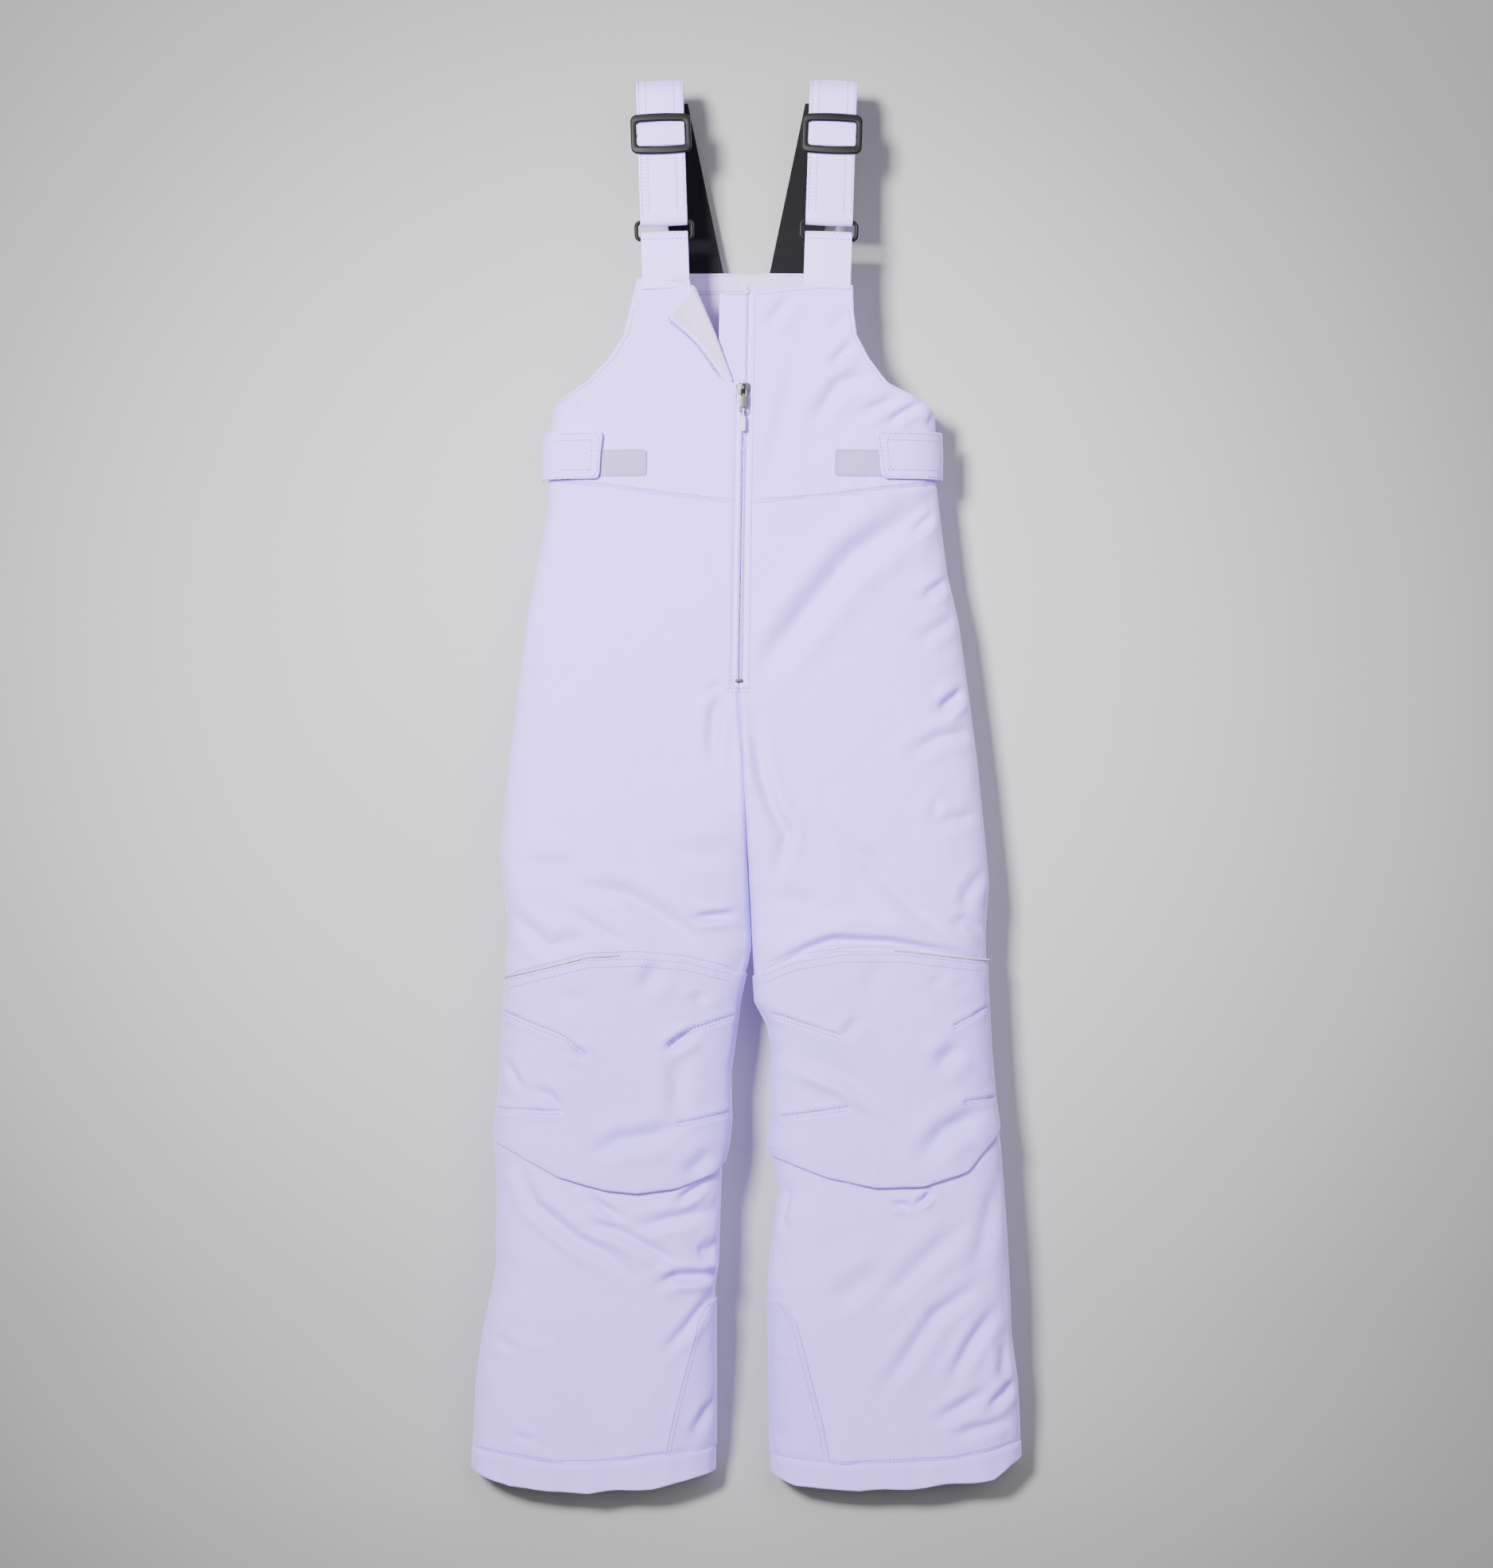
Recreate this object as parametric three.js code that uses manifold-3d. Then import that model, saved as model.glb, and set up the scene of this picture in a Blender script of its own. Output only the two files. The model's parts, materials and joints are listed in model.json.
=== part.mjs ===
// Child's insulated ski bib pants, hanging by the two shoulder straps as on a hanger bar.
// Millimetres, +Z up. The wearer faces -Y, so the wearer's left is +X. The origin is midway between the
// undersides of the two strap arches, which is where a hanger bar carries the garment.
import * as THREE from "three";
import { mergeVertices } from "three/addons/utils/BufferGeometryUtils.js";
import Module from "manifold-3d";

const wasm = await Module();
wasm.setup();

// ---------------------------------------------------------------- driving dimensions
const GAP = 0.3; // clearance between pieces that touch
const SHELL = 4; // shell fabric, insulation and lining together
const ROUNDNESS = 3; // exponent of the flattened cross-sections
const COLUMNS = 10; // facets across one face of a leg or of half the bib

const BIB_TOP = -165; // strap roots on the front bib
const BIB_DIP = 8; // how far the front edge sinks from strap to zip
const BACK_TOP = -160;
const ARMHOLE_LOW = -269;
const WAIST_SIDE = -332;
const WAIST_CENTRE = -350;
const BACK_WAIST = -344;
const CROTCH = -589;
const RISE_BLEND = 92; // height over which the seat divides into two legs
const KNEE_TOP = { inner: -732, crown: -717, outer: -735 };
const KNEE_LOW = { inner: -889, crown: -914, outer: -870 };
const BACK_KNEE = -804;
const HEM_SEAM = { inner: -1121, crown: -1134, outer: -1121 };
const HEM_LOW = { inner: -1142, crown: -1160, outer: -1141 };

// Silhouette as [height, distance from the middle].
const ARMHOLE = [
  [BIB_TOP, 88.5], [-192, 92], [-211, 96], [-231, 107], [-250, 124], [-262, 144], [ARMHOLE_LOW, 158],
];
const OUTSEAM = [
  [ARMHOLE_LOW, 158], [-322, 159], [-381, 167], [-459, 181], [-537, 191], [-615, 200], [-654, 201],
  [-693, 197], [-771, 200], [-849, 206], [-907, 209], [-985, 213], [-1063, 223], [-1165, 226],
];
const INSEAM = [
  [CROTCH, 0.2], [-706, 0.8], [-732, 4], [-771, 13.5], [-800, 17.5], [-862, 17], [-907, 24],
  [-985, 21], [-1165, 22.4],
];
const FRONT_DEPTH = [[BIB_TOP, 34], [-500, 34], [-600, 38], [-850, 38], [-1165, 37]];
const BACK_DEPTH = [[BIB_TOP, 31], [-330, 35], [-520, 44], [-650, 40], [-850, 37], [-1165, 37]];
const KNEE_PROUD = 3; // foam under the knee panel

const ZIP_TOP = -175;
const ZIP_LOW = -495;
const ZIP_LEAN = 0.016; // sideways shift per unit of height
const ZIP_MID_X = -3.6;
const ZIP_PLANE = -33.2; // front face of the tape
const ZIP_OPENING = 8; // half the width between the panel edges
const TAPE = 0.8;
const COIL = { near: 1, far: 3.3, thick: 2.2 };
const SLIDER_Z = -257;
const SLIDER = { length: 12, width: 9.6, plate: 1.1, channel: 3.8, post: 1.3 };
const PULL = { length: 21, width: 8, thick: 1.4 };
const CORD = { length: 19, width: 5.4, thick: 3 };
const WIND_FLAP = { reach: 21, overlap: 14, thick: 1.3 };

const FOLD_FOOT = new THREE.Vector2(-2.4 - ZIP_OPENING, -252); // fold line of the turned-back corner
const FOLD_HEAD = new THREE.Vector2(-46, -171);
const LAPEL_OPEN = THREE.MathUtils.degToRad(165);

const STRAP = { width: 38.5, thick: 1.5, x: 66, lean: 2, tilt: 5.4, arch: 20, tail: 8 };
const BAR = 3.4; // diameter of the ring's bars
// High is the height of the ring's top bar, and drop how far its lower bar hangs below.
const RING = { width: STRAP.width + 10.5, high: 47.7, drop: 14.1 };
// From a bar's axis to the inside of its webbing loop, and how far the ring's top bar sits below the centre.
const LOOP_ROOM = { strap: 3.8, root: 4.8, seat: 1.7 };
const GLIDE = { z: 119.5, height: 34, rail: 6, thick: 3.5, bar: 2.6 };
GLIDE.width = STRAP.width + 11;
GLIDE.window = STRAP.width + 1.5;
const ELASTIC = { width: 38, thick: 1.6, x: 36.5 };

const TAB = { length: 49, top: -290, low: -329, thick: 2.4 };
// Far and near are a patch's distances from the side of the garment.
const PATCH = { thick: 1.2, top: -305, low: -327, far: 77.4, near: 18.4 };

// ---------------------------------------------------------------- small helpers
const lerp = THREE.MathUtils.lerp;

// Straight-line reading of a [height, value] list that falls with height.
function along(list, z) {
  if (z >= list[0][0]) return list[0][1];
  for (let i = 1; i < list.length; i += 1) {
    const [z0, v0] = list[i - 1];
    const [z1, v1] = list[i];
    if (z >= z1) return lerp(v0, v1, (z0 - z) / (z0 - z1));
  }
  return list.at(-1)[1];
}

// Seam across a leg from the inseam, u 0, to the outseam, u 1, with its crown between them.
const seam = (s, u) => {
  const crown = s.crown - (s.inner + s.outer) / 2;
  return lerp(s.inner, s.outer, u) + crown * Math.sin(Math.PI * u);
};

// Height of a flattened oval over its own width, 1 in the middle and 0 at the edges.
const oval = (s) => Math.pow(1 - Math.pow(Math.min(1, Math.abs(s)), ROUNDNESS), 1 / ROUNDNESS);

// 0 to 1, closing in at both ends, where the section turns the corner.
const toEdges = (u) => (1 - Math.cos(Math.PI * u)) / 2;

function meshOf(name, geometry, material) {
  const mesh = new THREE.Mesh(geometry, material);
  mesh.name = name;
  return mesh;
}

// Closed body from a grid of outer points and the matching grid of inner points.
// A grid that wraps is a tube, open at both ends.
function slab(outer, inner, nu, nv, wraps = false) {
  const points = [];
  const faces = [];
  const columns = wraps ? nu : nu + 1;
  for (const at of [outer, inner]) {
    for (let j = 0; j <= nv; j += 1) {
      for (let i = 0; i < columns; i += 1) points.push(...at(i / nu, j / nv));
    }
  }
  const id = (side, i, j) => side * columns * (nv + 1) + j * columns + (i % columns);
  const quad = (a, b, c, d) => faces.push(a, b, c, a, c, d);
  for (let j = 0; j < nv; j += 1) {
    for (let i = 0; i < nu; i += 1) {
      quad(id(0, i, j), id(0, i + 1, j), id(0, i + 1, j + 1), id(0, i, j + 1));
      quad(id(1, i, j), id(1, i, j + 1), id(1, i + 1, j + 1), id(1, i + 1, j));
    }
  }
  for (let i = 0; i < nu; i += 1) {
    quad(id(0, i, 0), id(1, i, 0), id(1, i + 1, 0), id(0, i + 1, 0));
    quad(id(0, i, nv), id(0, i + 1, nv), id(1, i + 1, nv), id(1, i, nv));
  }
  for (let j = 0; !wraps && j < nv; j += 1) {
    quad(id(0, 0, j), id(0, 0, j + 1), id(1, 0, j + 1), id(1, 0, j));
    quad(id(0, nu, j), id(1, nu, j), id(1, nu, j + 1), id(0, nu, j + 1));
  }
  return facingOut(points, faces);
}

// Geometry whose faces point outwards, whichever way its grid ran.
function facingOut(points, faces) {
  let volume = 0;
  for (let f = 0; f < faces.length; f += 3) {
    const [a, b, c] = [0, 1, 2].map((k) => new THREE.Vector3().fromArray(points, faces[f + k] * 3));
    volume += a.dot(b.cross(c));
  }
  if (volume < 0) {
    for (let f = 0; f < faces.length; f += 3) [faces[f], faces[f + 1]] = [faces[f + 1], faces[f]];
  }
  const geometry = new THREE.BufferGeometry();
  geometry.setAttribute("position", new THREE.Float32BufferAttribute(points, 3));
  geometry.setIndex(faces);
  return geometry;
}

function solidOf(geometry) {
  const bare = new THREE.BufferGeometry();
  const flat = geometry.index ? geometry.toNonIndexed() : geometry;
  bare.setAttribute("position", flat.getAttribute("position"));
  const merged = mergeVertices(bare, 1e-3);
  return new wasm.Manifold(new wasm.Mesh({
    numProp: 3,
    vertProperties: merged.attributes.position.array,
    triVerts: new Uint32Array(merged.index.array),
  }));
}

function geometryOf(solid) {
  const mesh = solid.getMesh();
  const geometry = new THREE.BufferGeometry();
  geometry.setAttribute("position", new THREE.BufferAttribute(new Float32Array(mesh.vertProperties), 3));
  geometry.setIndex(new THREE.BufferAttribute(new Uint32Array(mesh.triVerts), 1));
  return geometry;
}

const joined = (first, ...rest) => geometryOf(rest.reduce((sum, g) => sum.add(solidOf(g)), solidOf(first)));
const cut = (first, ...rest) =>
  geometryOf(rest.reduce((left, g) => left.subtract(solidOf(g)), solidOf(first)));

// Box between two corners.
function block([x0, y0, z0], [x1, y1, z1]) {
  return new THREE.BoxGeometry(x1 - x0, y1 - y0, z1 - z0)
    .translate((x0 + x1) / 2, (y0 + y1) / 2, (z0 + z1) / 2);
}

// Webbing: a strip of even thickness along a [depth, height] path, as wide as given across X.
function webbing(path, thick, width) {
  const left = [];
  const right = [];
  path.forEach(([y, z], i) => {
    const [y0, z0] = path[Math.max(0, i - 1)];
    const [y1, z1] = path[Math.min(path.length - 1, i + 1)];
    const length = Math.hypot(y1 - y0, z1 - z0);
    const [ny, nz] = [-(z1 - z0) / length, (y1 - y0) / length];
    left.push([y + ny * thick / 2, z + nz * thick / 2]);
    right.push([y - ny * thick / 2, z - nz * thick / 2]);
  });
  const side = (points, t) => points[Math.round(t * (points.length - 1))];
  const at = (points) => (u, v) => [lerp(-width / 2, width / 2, u), ...side(points, v)];
  return slab(at(left), at(right), 1, path.length - 1);
}

// Points on an arc in the [depth, height] plane, angles in degrees from +Y towards +Z.
function arc([y, z], radius, from, to, steps) {
  return Array.from({ length: steps + 1 }, (_, i) => {
    const a = THREE.MathUtils.degToRad(lerp(from, to, i / steps));
    return [y + radius * Math.cos(a), z + radius * Math.sin(a)];
  });
}

// ---------------------------------------------------------------- finishes
const finish = (color, roughness, metalness = 0) =>
  new THREE.MeshStandardMaterial({ color, roughness, metalness });
const shellFabric = finish(0xd6d0ea, 0.75);
const kneeFabric = finish(0xcac5e2, 0.8);
const liningFabric = finish(0xe9e6f0, 0.7);
const webFabric = finish(0xdad4ee, 0.75);
const loopPile = finish(0xc9c0d6, 0.95);
const blackElastic = finish(0x141416, 0.9);
const blackResin = finish(0x1d1f21, 0.4);
const coilResin = finish(0xcfc6ea, 0.45);
const zipMetal = finish(0x9b9a96, 0.3, 1);
const cordResin = finish(0xcdcbe0, 0.3);
const reflective = finish(0xa9b0ad, 0.4);

// ---------------------------------------------------------------- the shape of the garment
const zipX = (z) => ZIP_MID_X + (z - (ZIP_TOP + ZIP_LOW) / 2) * ZIP_LEAN;

// How far the seat has divided into legs at a height, 0 to 1.
const division = (z) => THREE.MathUtils.smoothstep(CROTCH + RISE_BLEND - z, 0, RISE_BLEND);

// Centre seam: the zip's line above, the middle of the crotch below.
const centreX = (z) => (z > ZIP_LOW ? zipX(z) : lerp(zipX(ZIP_LOW), 0, division(z)));

const depthOf = (face, z) => along(face < 0 ? FRONT_DEPTH : BACK_DEPTH, z);

// Depth of the shell at a point on one side of the body; inset 0 is the outer face and SHELL the inner one.
function shellY(face, x, z, inset) {
  const depth = depthOf(face, z) - inset;
  const outer = along(OUTSEAM, z);
  const legInner = along(INSEAM, z);
  const torso = oval(x / (outer - inset));
  const middle = (outer + legInner) / 2;
  const leg = oval((x - middle) / ((outer - legInner) / 2 - inset));
  return face * Math.max(GAP / 2, depth * lerp(torso, leg, division(z)));
}

// A cut piece of one side of the body. top and low give the seams' heights across it, edge its inner
// line, and proud stands its outer face off.
function panel({ side, face, top, low, edge, outline = OUTSEAM, nv = 8, proud = 0, rows }) {
  const height = (u, v) => {
    const t = rows ? rows[Math.round(v * nv)] : v;
    return lerp(low(u) + GAP / 2, top(u) - GAP / 2, t);
  };
  const at = (inset) => (u, v) => {
    const z = height(u, v);
    const outer = along(outline, z);
    const inner = edge(z);
    const near = inner + inset * division(z);
    const far = outer - (z < ARMHOLE_LOW ? inset : 0);
    const x = lerp(near, far, toEdges(u));
    const lift = inset === 0 ? proud * Math.sin(Math.PI * u) ** 0.5 : 0;
    return [side * x, shellY(face, x, z, inset) + face * lift, z];
  };
  return slab(at(0), at(SHELL), COLUMNS, nv);
}

// Share of the way across a leg, 0 at the inseam, for a turn 0 to 1 that starts at the outseam.
const acrossAt = (turn) => Math.abs(1 - 2 * turn);

// Point on the whole oval of a leg, passing its front first, at an offset outwards from the shell.
function legRing(side, turn, z, offset) {
  const [outer, inner] = [along(OUTSEAM, z) + offset, along(INSEAM, z) - offset];
  const face = turn < 0.5 ? -1 : 1;
  const x = lerp(inner, outer, toEdges(acrossAt(turn)));
  const y = face * (depthOf(face, z) + offset) * oval((x - (inner + outer) / 2) / ((outer - inner) / 2));
  return [side * x, y, z];
}

// ---------------------------------------------------------------- fabric pieces
const sideName = (side) => (side > 0 ? "left" : "right");
const waistSeam = (u) => lerp(WAIST_CENTRE, WAIST_SIDE, u);

function bibFront(side) {
  const foot = FOLD_FOOT;
  const head = FOLD_HEAD;
  const edge = (z) => {
    const zipEdge = side * zipX(z) + ZIP_OPENING;
    if (side > 0 || z < foot.y) return zipEdge;
    return -lerp(foot.x, head.x, Math.min(1, (z - foot.y) / (head.y - foot.y))) + GAP;
  };
  const top = (u) => BIB_TOP - BIB_DIP * (1 - Math.min(1, u * 2));
  const armThenSide = [...ARMHOLE, ...OUTSEAM.slice(1)];
  const options = { side, face: -1, top, low: waistSeam, edge, outline: armThenSide, nv: 10 };
  return meshOf(`${sideName(side)}_bib_front`, panel(options), shellFabric);
}

function bibBack() {
  const armThenSide = [[BACK_TOP, 88], ...ARMHOLE.slice(1), ...OUTSEAM.slice(1)];
  const at = (inset) => (u, v) => {
    const s = -Math.cos(Math.PI * u);
    const z = lerp(BACK_WAIST + GAP / 2, BACK_TOP, v);
    const reach = along(armThenSide, z);
    const x = s * (reach - inset * (z < ARMHOLE_LOW ? 1 : 0));
    return [x, shellY(1, x, z, inset), z];
  };
  return meshOf("bib_back", slab(at(0), at(SHELL), 14, 10), shellFabric);
}

function thighFront(side) {
  const zipShare = (ZIP_LOW - KNEE_TOP.inner) / (WAIST_CENTRE - KNEE_TOP.inner);
  const crotchShare = (CROTCH - KNEE_TOP.inner) / (WAIST_CENTRE - KNEE_TOP.inner);
  const rows = [0, crotchShare / 2, crotchShare, crotchShare + (zipShare - crotchShare) / 2,
    zipShare - 0.005, zipShare + 0.005, lerp(zipShare, 1, 0.5), 1];
  const edge = (z) => (z > ZIP_LOW ? side * zipX(z) + ZIP_OPENING : openEdge(side, z));
  const options = { side, face: -1, top: waistSeam, low: (u) => seam(KNEE_TOP, u), edge, rows, nv: 7 };
  return meshOf(`${sideName(side)}_front_thigh`, panel(options), shellFabric);
}

// Inner line of a piece below the zip: the centre seam, then the inseam.
const openEdge = (side, z) => (z > CROTCH ? side * centreX(z) + GAP / 2 : along(INSEAM, z));

function thighBack(side) {
  const options = {
    side, face: 1, top: () => BACK_WAIST, low: () => BACK_KNEE, nv: 10,
    edge: (z) => (z > CROTCH ? GAP / 2 : along(INSEAM, z)),
  };
  return meshOf(`${sideName(side)}_back_thigh`, panel(options), shellFabric);
}

function lowerLeg(side) {
  const edge = (z) => along(INSEAM, z);
  const name = sideName(side);
  const knee = (u) => seam(KNEE_TOP, u);
  const cap = (u) => seam(KNEE_LOW, u);
  const hem = (u) => seam(HEM_SEAM, u);
  const pieces = [
    [`${name}_knee_panel`, { face: -1, top: knee, low: cap, proud: KNEE_PROUD }, kneeFabric],
    [`${name}_front_shin`, { face: -1, top: cap, low: hem }, shellFabric],
    [`${name}_back_calf`, { face: 1, top: () => BACK_KNEE, low: hem }, shellFabric],
  ];
  const made = ([label, shape, fabric]) => meshOf(label, panel({ side, edge, nv: 6, ...shape }), fabric);
  return pieces.map(made);
}

function hemBand(side) {
  const at = (offset) => (u, v) => {
    const across = acrossAt(u);
    return legRing(side, u, lerp(seam(HEM_LOW, across), seam(HEM_SEAM, across) - GAP / 2, v), offset);
  };
  return meshOf(`${sideName(side)}_hem_band`, slab(at(0), at(-SHELL), 2 * COLUMNS, 1, true), kneeFabric);
}

// Overlay of tough cloth on the inner ankle, round the inseam from front to back.
function scuffGuard(side) {
  const [top, height, thick, rise] = [-1000, 106, 1.2, 1];
  const at = (offset) => (u, v) => {
    const reach = lerp(0.26, 0.15, v);
    const turn = 0.5 + lerp(-reach, reach, u);
    return legRing(side, turn, lerp(top - height, top, v), offset);
  };
  return meshOf(`${sideName(side)}_scuff_guard`, slab(at(rise + thick), at(rise), 14, 4), kneeFabric);
}

// Inner snow cuff, sewn to the lining at its top and gathered by elastic at its foot.
function snowCuff(side) {
  const [top, low, thick, draw] = [-1010, -1112, 1, 16];
  const drawnIn = (v) => -(SHELL + 2 * GAP) - draw * Math.sin((1 - v) * Math.PI / 2);
  const at = (inset) => (u, v) => legRing(side, u, lerp(low, top, v), drawnIn(v) - inset);
  const inside = drawnIn(0) - thick - GAP - 0.8;
  const grip = (inset) => (u, v) => legRing(side, u, lerp(low, low + 14, v), inside - inset);
  return [
    meshOf(`${sideName(side)}_snow_cuff`, slab(at(0), at(thick), 2 * COLUMNS, 4, true), liningFabric),
    meshOf(`${sideName(side)}_cuff_elastic`, slab(grip(0), grip(1.4), 2 * COLUMNS, 1, true), blackElastic),
  ];
}

// Reflective piping in the outer half of the seam over the knee.
function kneePiping(side) {
  const at = (rise) => (u, v) => {
    const across = lerp(0.52, 0.95, u);
    const z = seam(KNEE_TOP, across) + lerp(0.4, 2.8, v);
    const x = lerp(along(INSEAM, z), along(OUTSEAM, z), toEdges(across));
    return [side * x, shellY(-1, x, z, 0) - rise, z];
  };
  return meshOf(`${sideName(side)}_knee_piping`, slab(at(GAP + 2), at(GAP + 0.6), 10, 1), reflective);
}

// Facing strip inside the top of the back bib, and the elastic in the back waist's casing.
function backTrim() {
  const strip = (half, low, top, thick, columns) => {
    const at = (inset) => (u, v) => {
      const x = lerp(-half, half, u);
      const z = lerp(low, top, v);
      return [x, shellY(1, x, z, SHELL) - 2 * GAP - inset, z];
    };
    return slab(at(0), at(thick), columns, 1);
  };
  return [
    meshOf("back_facing", strip(80, BACK_TOP - 16, BACK_TOP - 0.5, 1, 10), liningFabric),
    meshOf("back_waist_elastic", strip(104, BACK_WAIST + 4, BACK_WAIST + 28, 1.4, 14), blackElastic),
  ];
}

// ---------------------------------------------------------------- zip
// The zip's own frame: X across it, Z up along it, origin on its line at the slider's height.
function zipFrame() {
  const group = new THREE.Group();
  group.position.set(zipX(SLIDER_Z), 0, SLIDER_Z);
  group.rotation.y = Math.atan(ZIP_LEAN);
  return group;
}

function zipSide(side, low, top) {
  const [x0, x1] = [COIL.near, COIL.far];
  const across = (a, b) => (side > 0 ? [a, b] : [-b, -a]);
  const [t0, t1] = across(x0, ZIP_OPENING - 0.4);
  const [c0, c1] = across(x0, x1);
  const coilFront = ZIP_PLANE - GAP - COIL.thick;
  return {
    tape: block([t0, ZIP_PLANE, low], [t1, ZIP_PLANE + TAPE, top]),
    coil: block([c0, coilFront, low + 1], [c1, ZIP_PLANE - GAP, top - 1]),
    stop: block([c0, coilFront, top - 0.7], [c1, ZIP_PLANE - GAP, top + 2]),
  };
}

function zip() {
  const group = zipFrame();
  const foot = ZIP_LOW - SLIDER_Z + 2;
  const head = ZIP_TOP - SLIDER_Z - 2;
  const left = zipSide(1, foot, head);
  const right = zipSide(-1, foot, FOLD_FOOT.y - SLIDER_Z - 1);
  const coilFront = ZIP_PLANE - GAP - COIL.thick;
  const bottomStop = block([-COIL.far, coilFront, foot - 2], [COIL.far, ZIP_PLANE + TAPE, foot - GAP]);
  group.add(
    meshOf("left_zip_tape", left.tape, shellFabric),
    meshOf("left_zip_coil", left.coil, coilResin),
    meshOf("left_zip_top_stop", left.stop, coilResin),
    meshOf("right_zip_tape", right.tape, shellFabric),
    meshOf("right_zip_coil", right.coil, coilResin),
    meshOf("zip_bottom_stop", bottomStop, coilResin),
    meshOf("zip_slider", slider(), zipMetal),
    ...pullParts(),
  );
  return group;
}

// Hinge of the pull: the bar through the slider's bridge, in the zip's frame.
const PULL_AXIS = new THREE.Vector2(ZIP_PLANE - GAP - COIL.thick - GAP - SLIDER.plate - 2.2, 1.5);

// Two plates joined by a post between the coils, with a bridge on the front plate for the pull.
function slider() {
  const half = SLIDER.width / 2;
  const [low, top] = [-SLIDER.length / 2, SLIDER.length / 2];
  const front = ZIP_PLANE - GAP - COIL.thick - GAP;
  const back = front + SLIDER.channel;
  const [bridgeY, bridgeZ] = [PULL_AXIS.x, PULL_AXIS.y];
  const flange = (x) => block([x, front - 0.1, low], [x + 0.8, front + 1.6, top]);
  const bridge = cut(
    block([-1, bridgeY - 2.2, bridgeZ - 4], [1, front - SLIDER.plate + 0.1, bridgeZ + 4]),
    block([-1.5, bridgeY - 1.2, bridgeZ - 2.4], [1.5, bridgeY + 1.2, bridgeZ + 2.4]),
  );
  return joined(
    block([-half, front - SLIDER.plate, low], [half, front, top]),
    block([-half, back, low], [half, back + SLIDER.plate, top]),
    block([-SLIDER.post / 2, front - 0.1, top - 3.4], [SLIDER.post / 2, back + 0.1, top]),
    flange(-half),
    flange(half - 0.8),
    bridge,
  );
}

// The metal pull hangs from the bridge, and the moulded grip from the pull's lower eye.
function pullParts() {
  const [y, z] = [PULL_AXIS.x, PULL_AXIS.y];
  const half = PULL.width / 2;
  const slim = PULL.thick / 2;
  const low = z - PULL.length;
  const plate = block([-half, y - slim, low], [half, y + slim, z + 0.8]);
  const window = block([-1.6, y - 2, z - 6.5], [1.6, y + 2, z - 0.8]);
  const eye = block([-2.6, y - 2, low + 1.6], [2.6, y + 2, low + 5.2]);
  const gripTop = low + 4.6;
  const grip = cut(
    block([-2.2, y - CORD.thick / 2, gripTop - CORD.length], [2.2, y + CORD.thick / 2, gripTop]),
    block([-3, y - slim - 0.4, low - 0.6], [3, y + slim + 0.4, low + 2.2]),
  );
  return [
    meshOf("zip_pull", cut(plate, window, eye), zipMetal),
    meshOf("zip_pull_grip", grip, cordResin),
  ];
}

// Underlap that keeps wind out, sewn behind the wearer's-left edge of the zip.
function windFlap() {
  const y = -along(FRONT_DEPTH, ZIP_TOP) + SHELL + GAP;
  const at = (depth) => (u, v) => {
    const z = lerp(ZIP_LOW + 10, ZIP_TOP, v);
    return [zipX(z) + lerp(-WIND_FLAP.reach, WIND_FLAP.overlap, u), y + depth, z];
  };
  return meshOf("wind_flap", slab(at(0), at(WIND_FLAP.thick), 1, 2), shellFabric);
}

// Top inner corner of the wearer's-right bib with its run of zip, turned back about the fold line.
function lapel() {
  const front = -Math.max(along(FRONT_DEPTH, FOLD_HEAD.y), along(FRONT_DEPTH, FOLD_FOOT.y));
  const group = new THREE.Group();
  const fold = FOLD_HEAD.clone().sub(FOLD_FOOT).normalize();
  group.position.set(FOLD_FOOT.x, front, FOLD_FOOT.y);
  group.setRotationFromAxisAngle(new THREE.Vector3(fold.x, 0, fold.y), -LAPEL_OPEN);
  const [start, end] = [5, FOLD_HEAD.y - FOLD_FOOT.y - 1];
  const zipEdge = (z) => zipX(z + FOLD_FOOT.y) - ZIP_OPENING - FOLD_FOOT.x;
  const at = (y) => (u, v) => {
    const z = lerp(start, end, v);
    const foldX = (fold.x / fold.y) * z + 0.6;
    return [lerp(foldX, Math.max(foldX + 0.4, zipEdge(z)), u), y, z];
  };
  const zipGroup = zipFrame();
  zipGroup.position.sub(group.position);
  const strip = zipSide(-1, FOLD_FOOT.y - SLIDER_Z + start + 1, ZIP_TOP - SLIDER_Z - 2);
  zipGroup.add(
    meshOf("lapel_zip_tape", strip.tape, shellFabric),
    meshOf("lapel_zip_coil", strip.coil, coilResin),
    meshOf("lapel_zip_top_stop", strip.stop, coilResin),
  );
  group.add(meshOf("lapel", slab(at(0), at(SHELL), 1, 4), shellFabric), zipGroup);
  return group;
}

// ---------------------------------------------------------------- shoulder straps
// A strap's own frame: X across it, Z up along it, origin at its root on the bib.
function strap(side) {
  const name = sideName(side);
  const group = new THREE.Group();
  group.position.set(side * STRAP.x, -along(FRONT_DEPTH, BIB_TOP) + STRAP.thick, BIB_TOP);
  group.rotation.set(-TILT, side * LEAN, 0, "YXZ");
  const barY = STRAP.thick / 2 + LOOP_ROOM.strap;
  const ringMesh = meshOf(`${name}_strap_ring`, ring(), blackResin);
  ringMesh.position.set(0, barY, RING.high);
  ringMesh.rotation.x = TILT;
  group.add(
    meshOf(`${name}_strap`, webbing(strapPath(barY), STRAP.thick, STRAP.width), webFabric),
    meshOf(`${name}_strap_return`, strapReturn(barY), webFabric),
    meshOf(`${name}_strap_root`, strapRoot(barY), webFabric),
    ringMesh,
    meshOf(`${name}_tri_glide`, triGlide(), blackResin),
  );
  return group;
}

// Height of the arch's centre in the strap's frame, which puts the arch's underside at the origin's height.
const TILT = THREE.MathUtils.degToRad(STRAP.tilt);
const LEAN = THREE.MathUtils.degToRad(STRAP.lean);
const ARCH_R = STRAP.arch + STRAP.thick / 2;
const ARCH_Z = ((-STRAP.arch - BIB_TOP) / Math.cos(LEAN) + ARCH_R * Math.sin(TILT)) / Math.cos(TILT);

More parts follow.
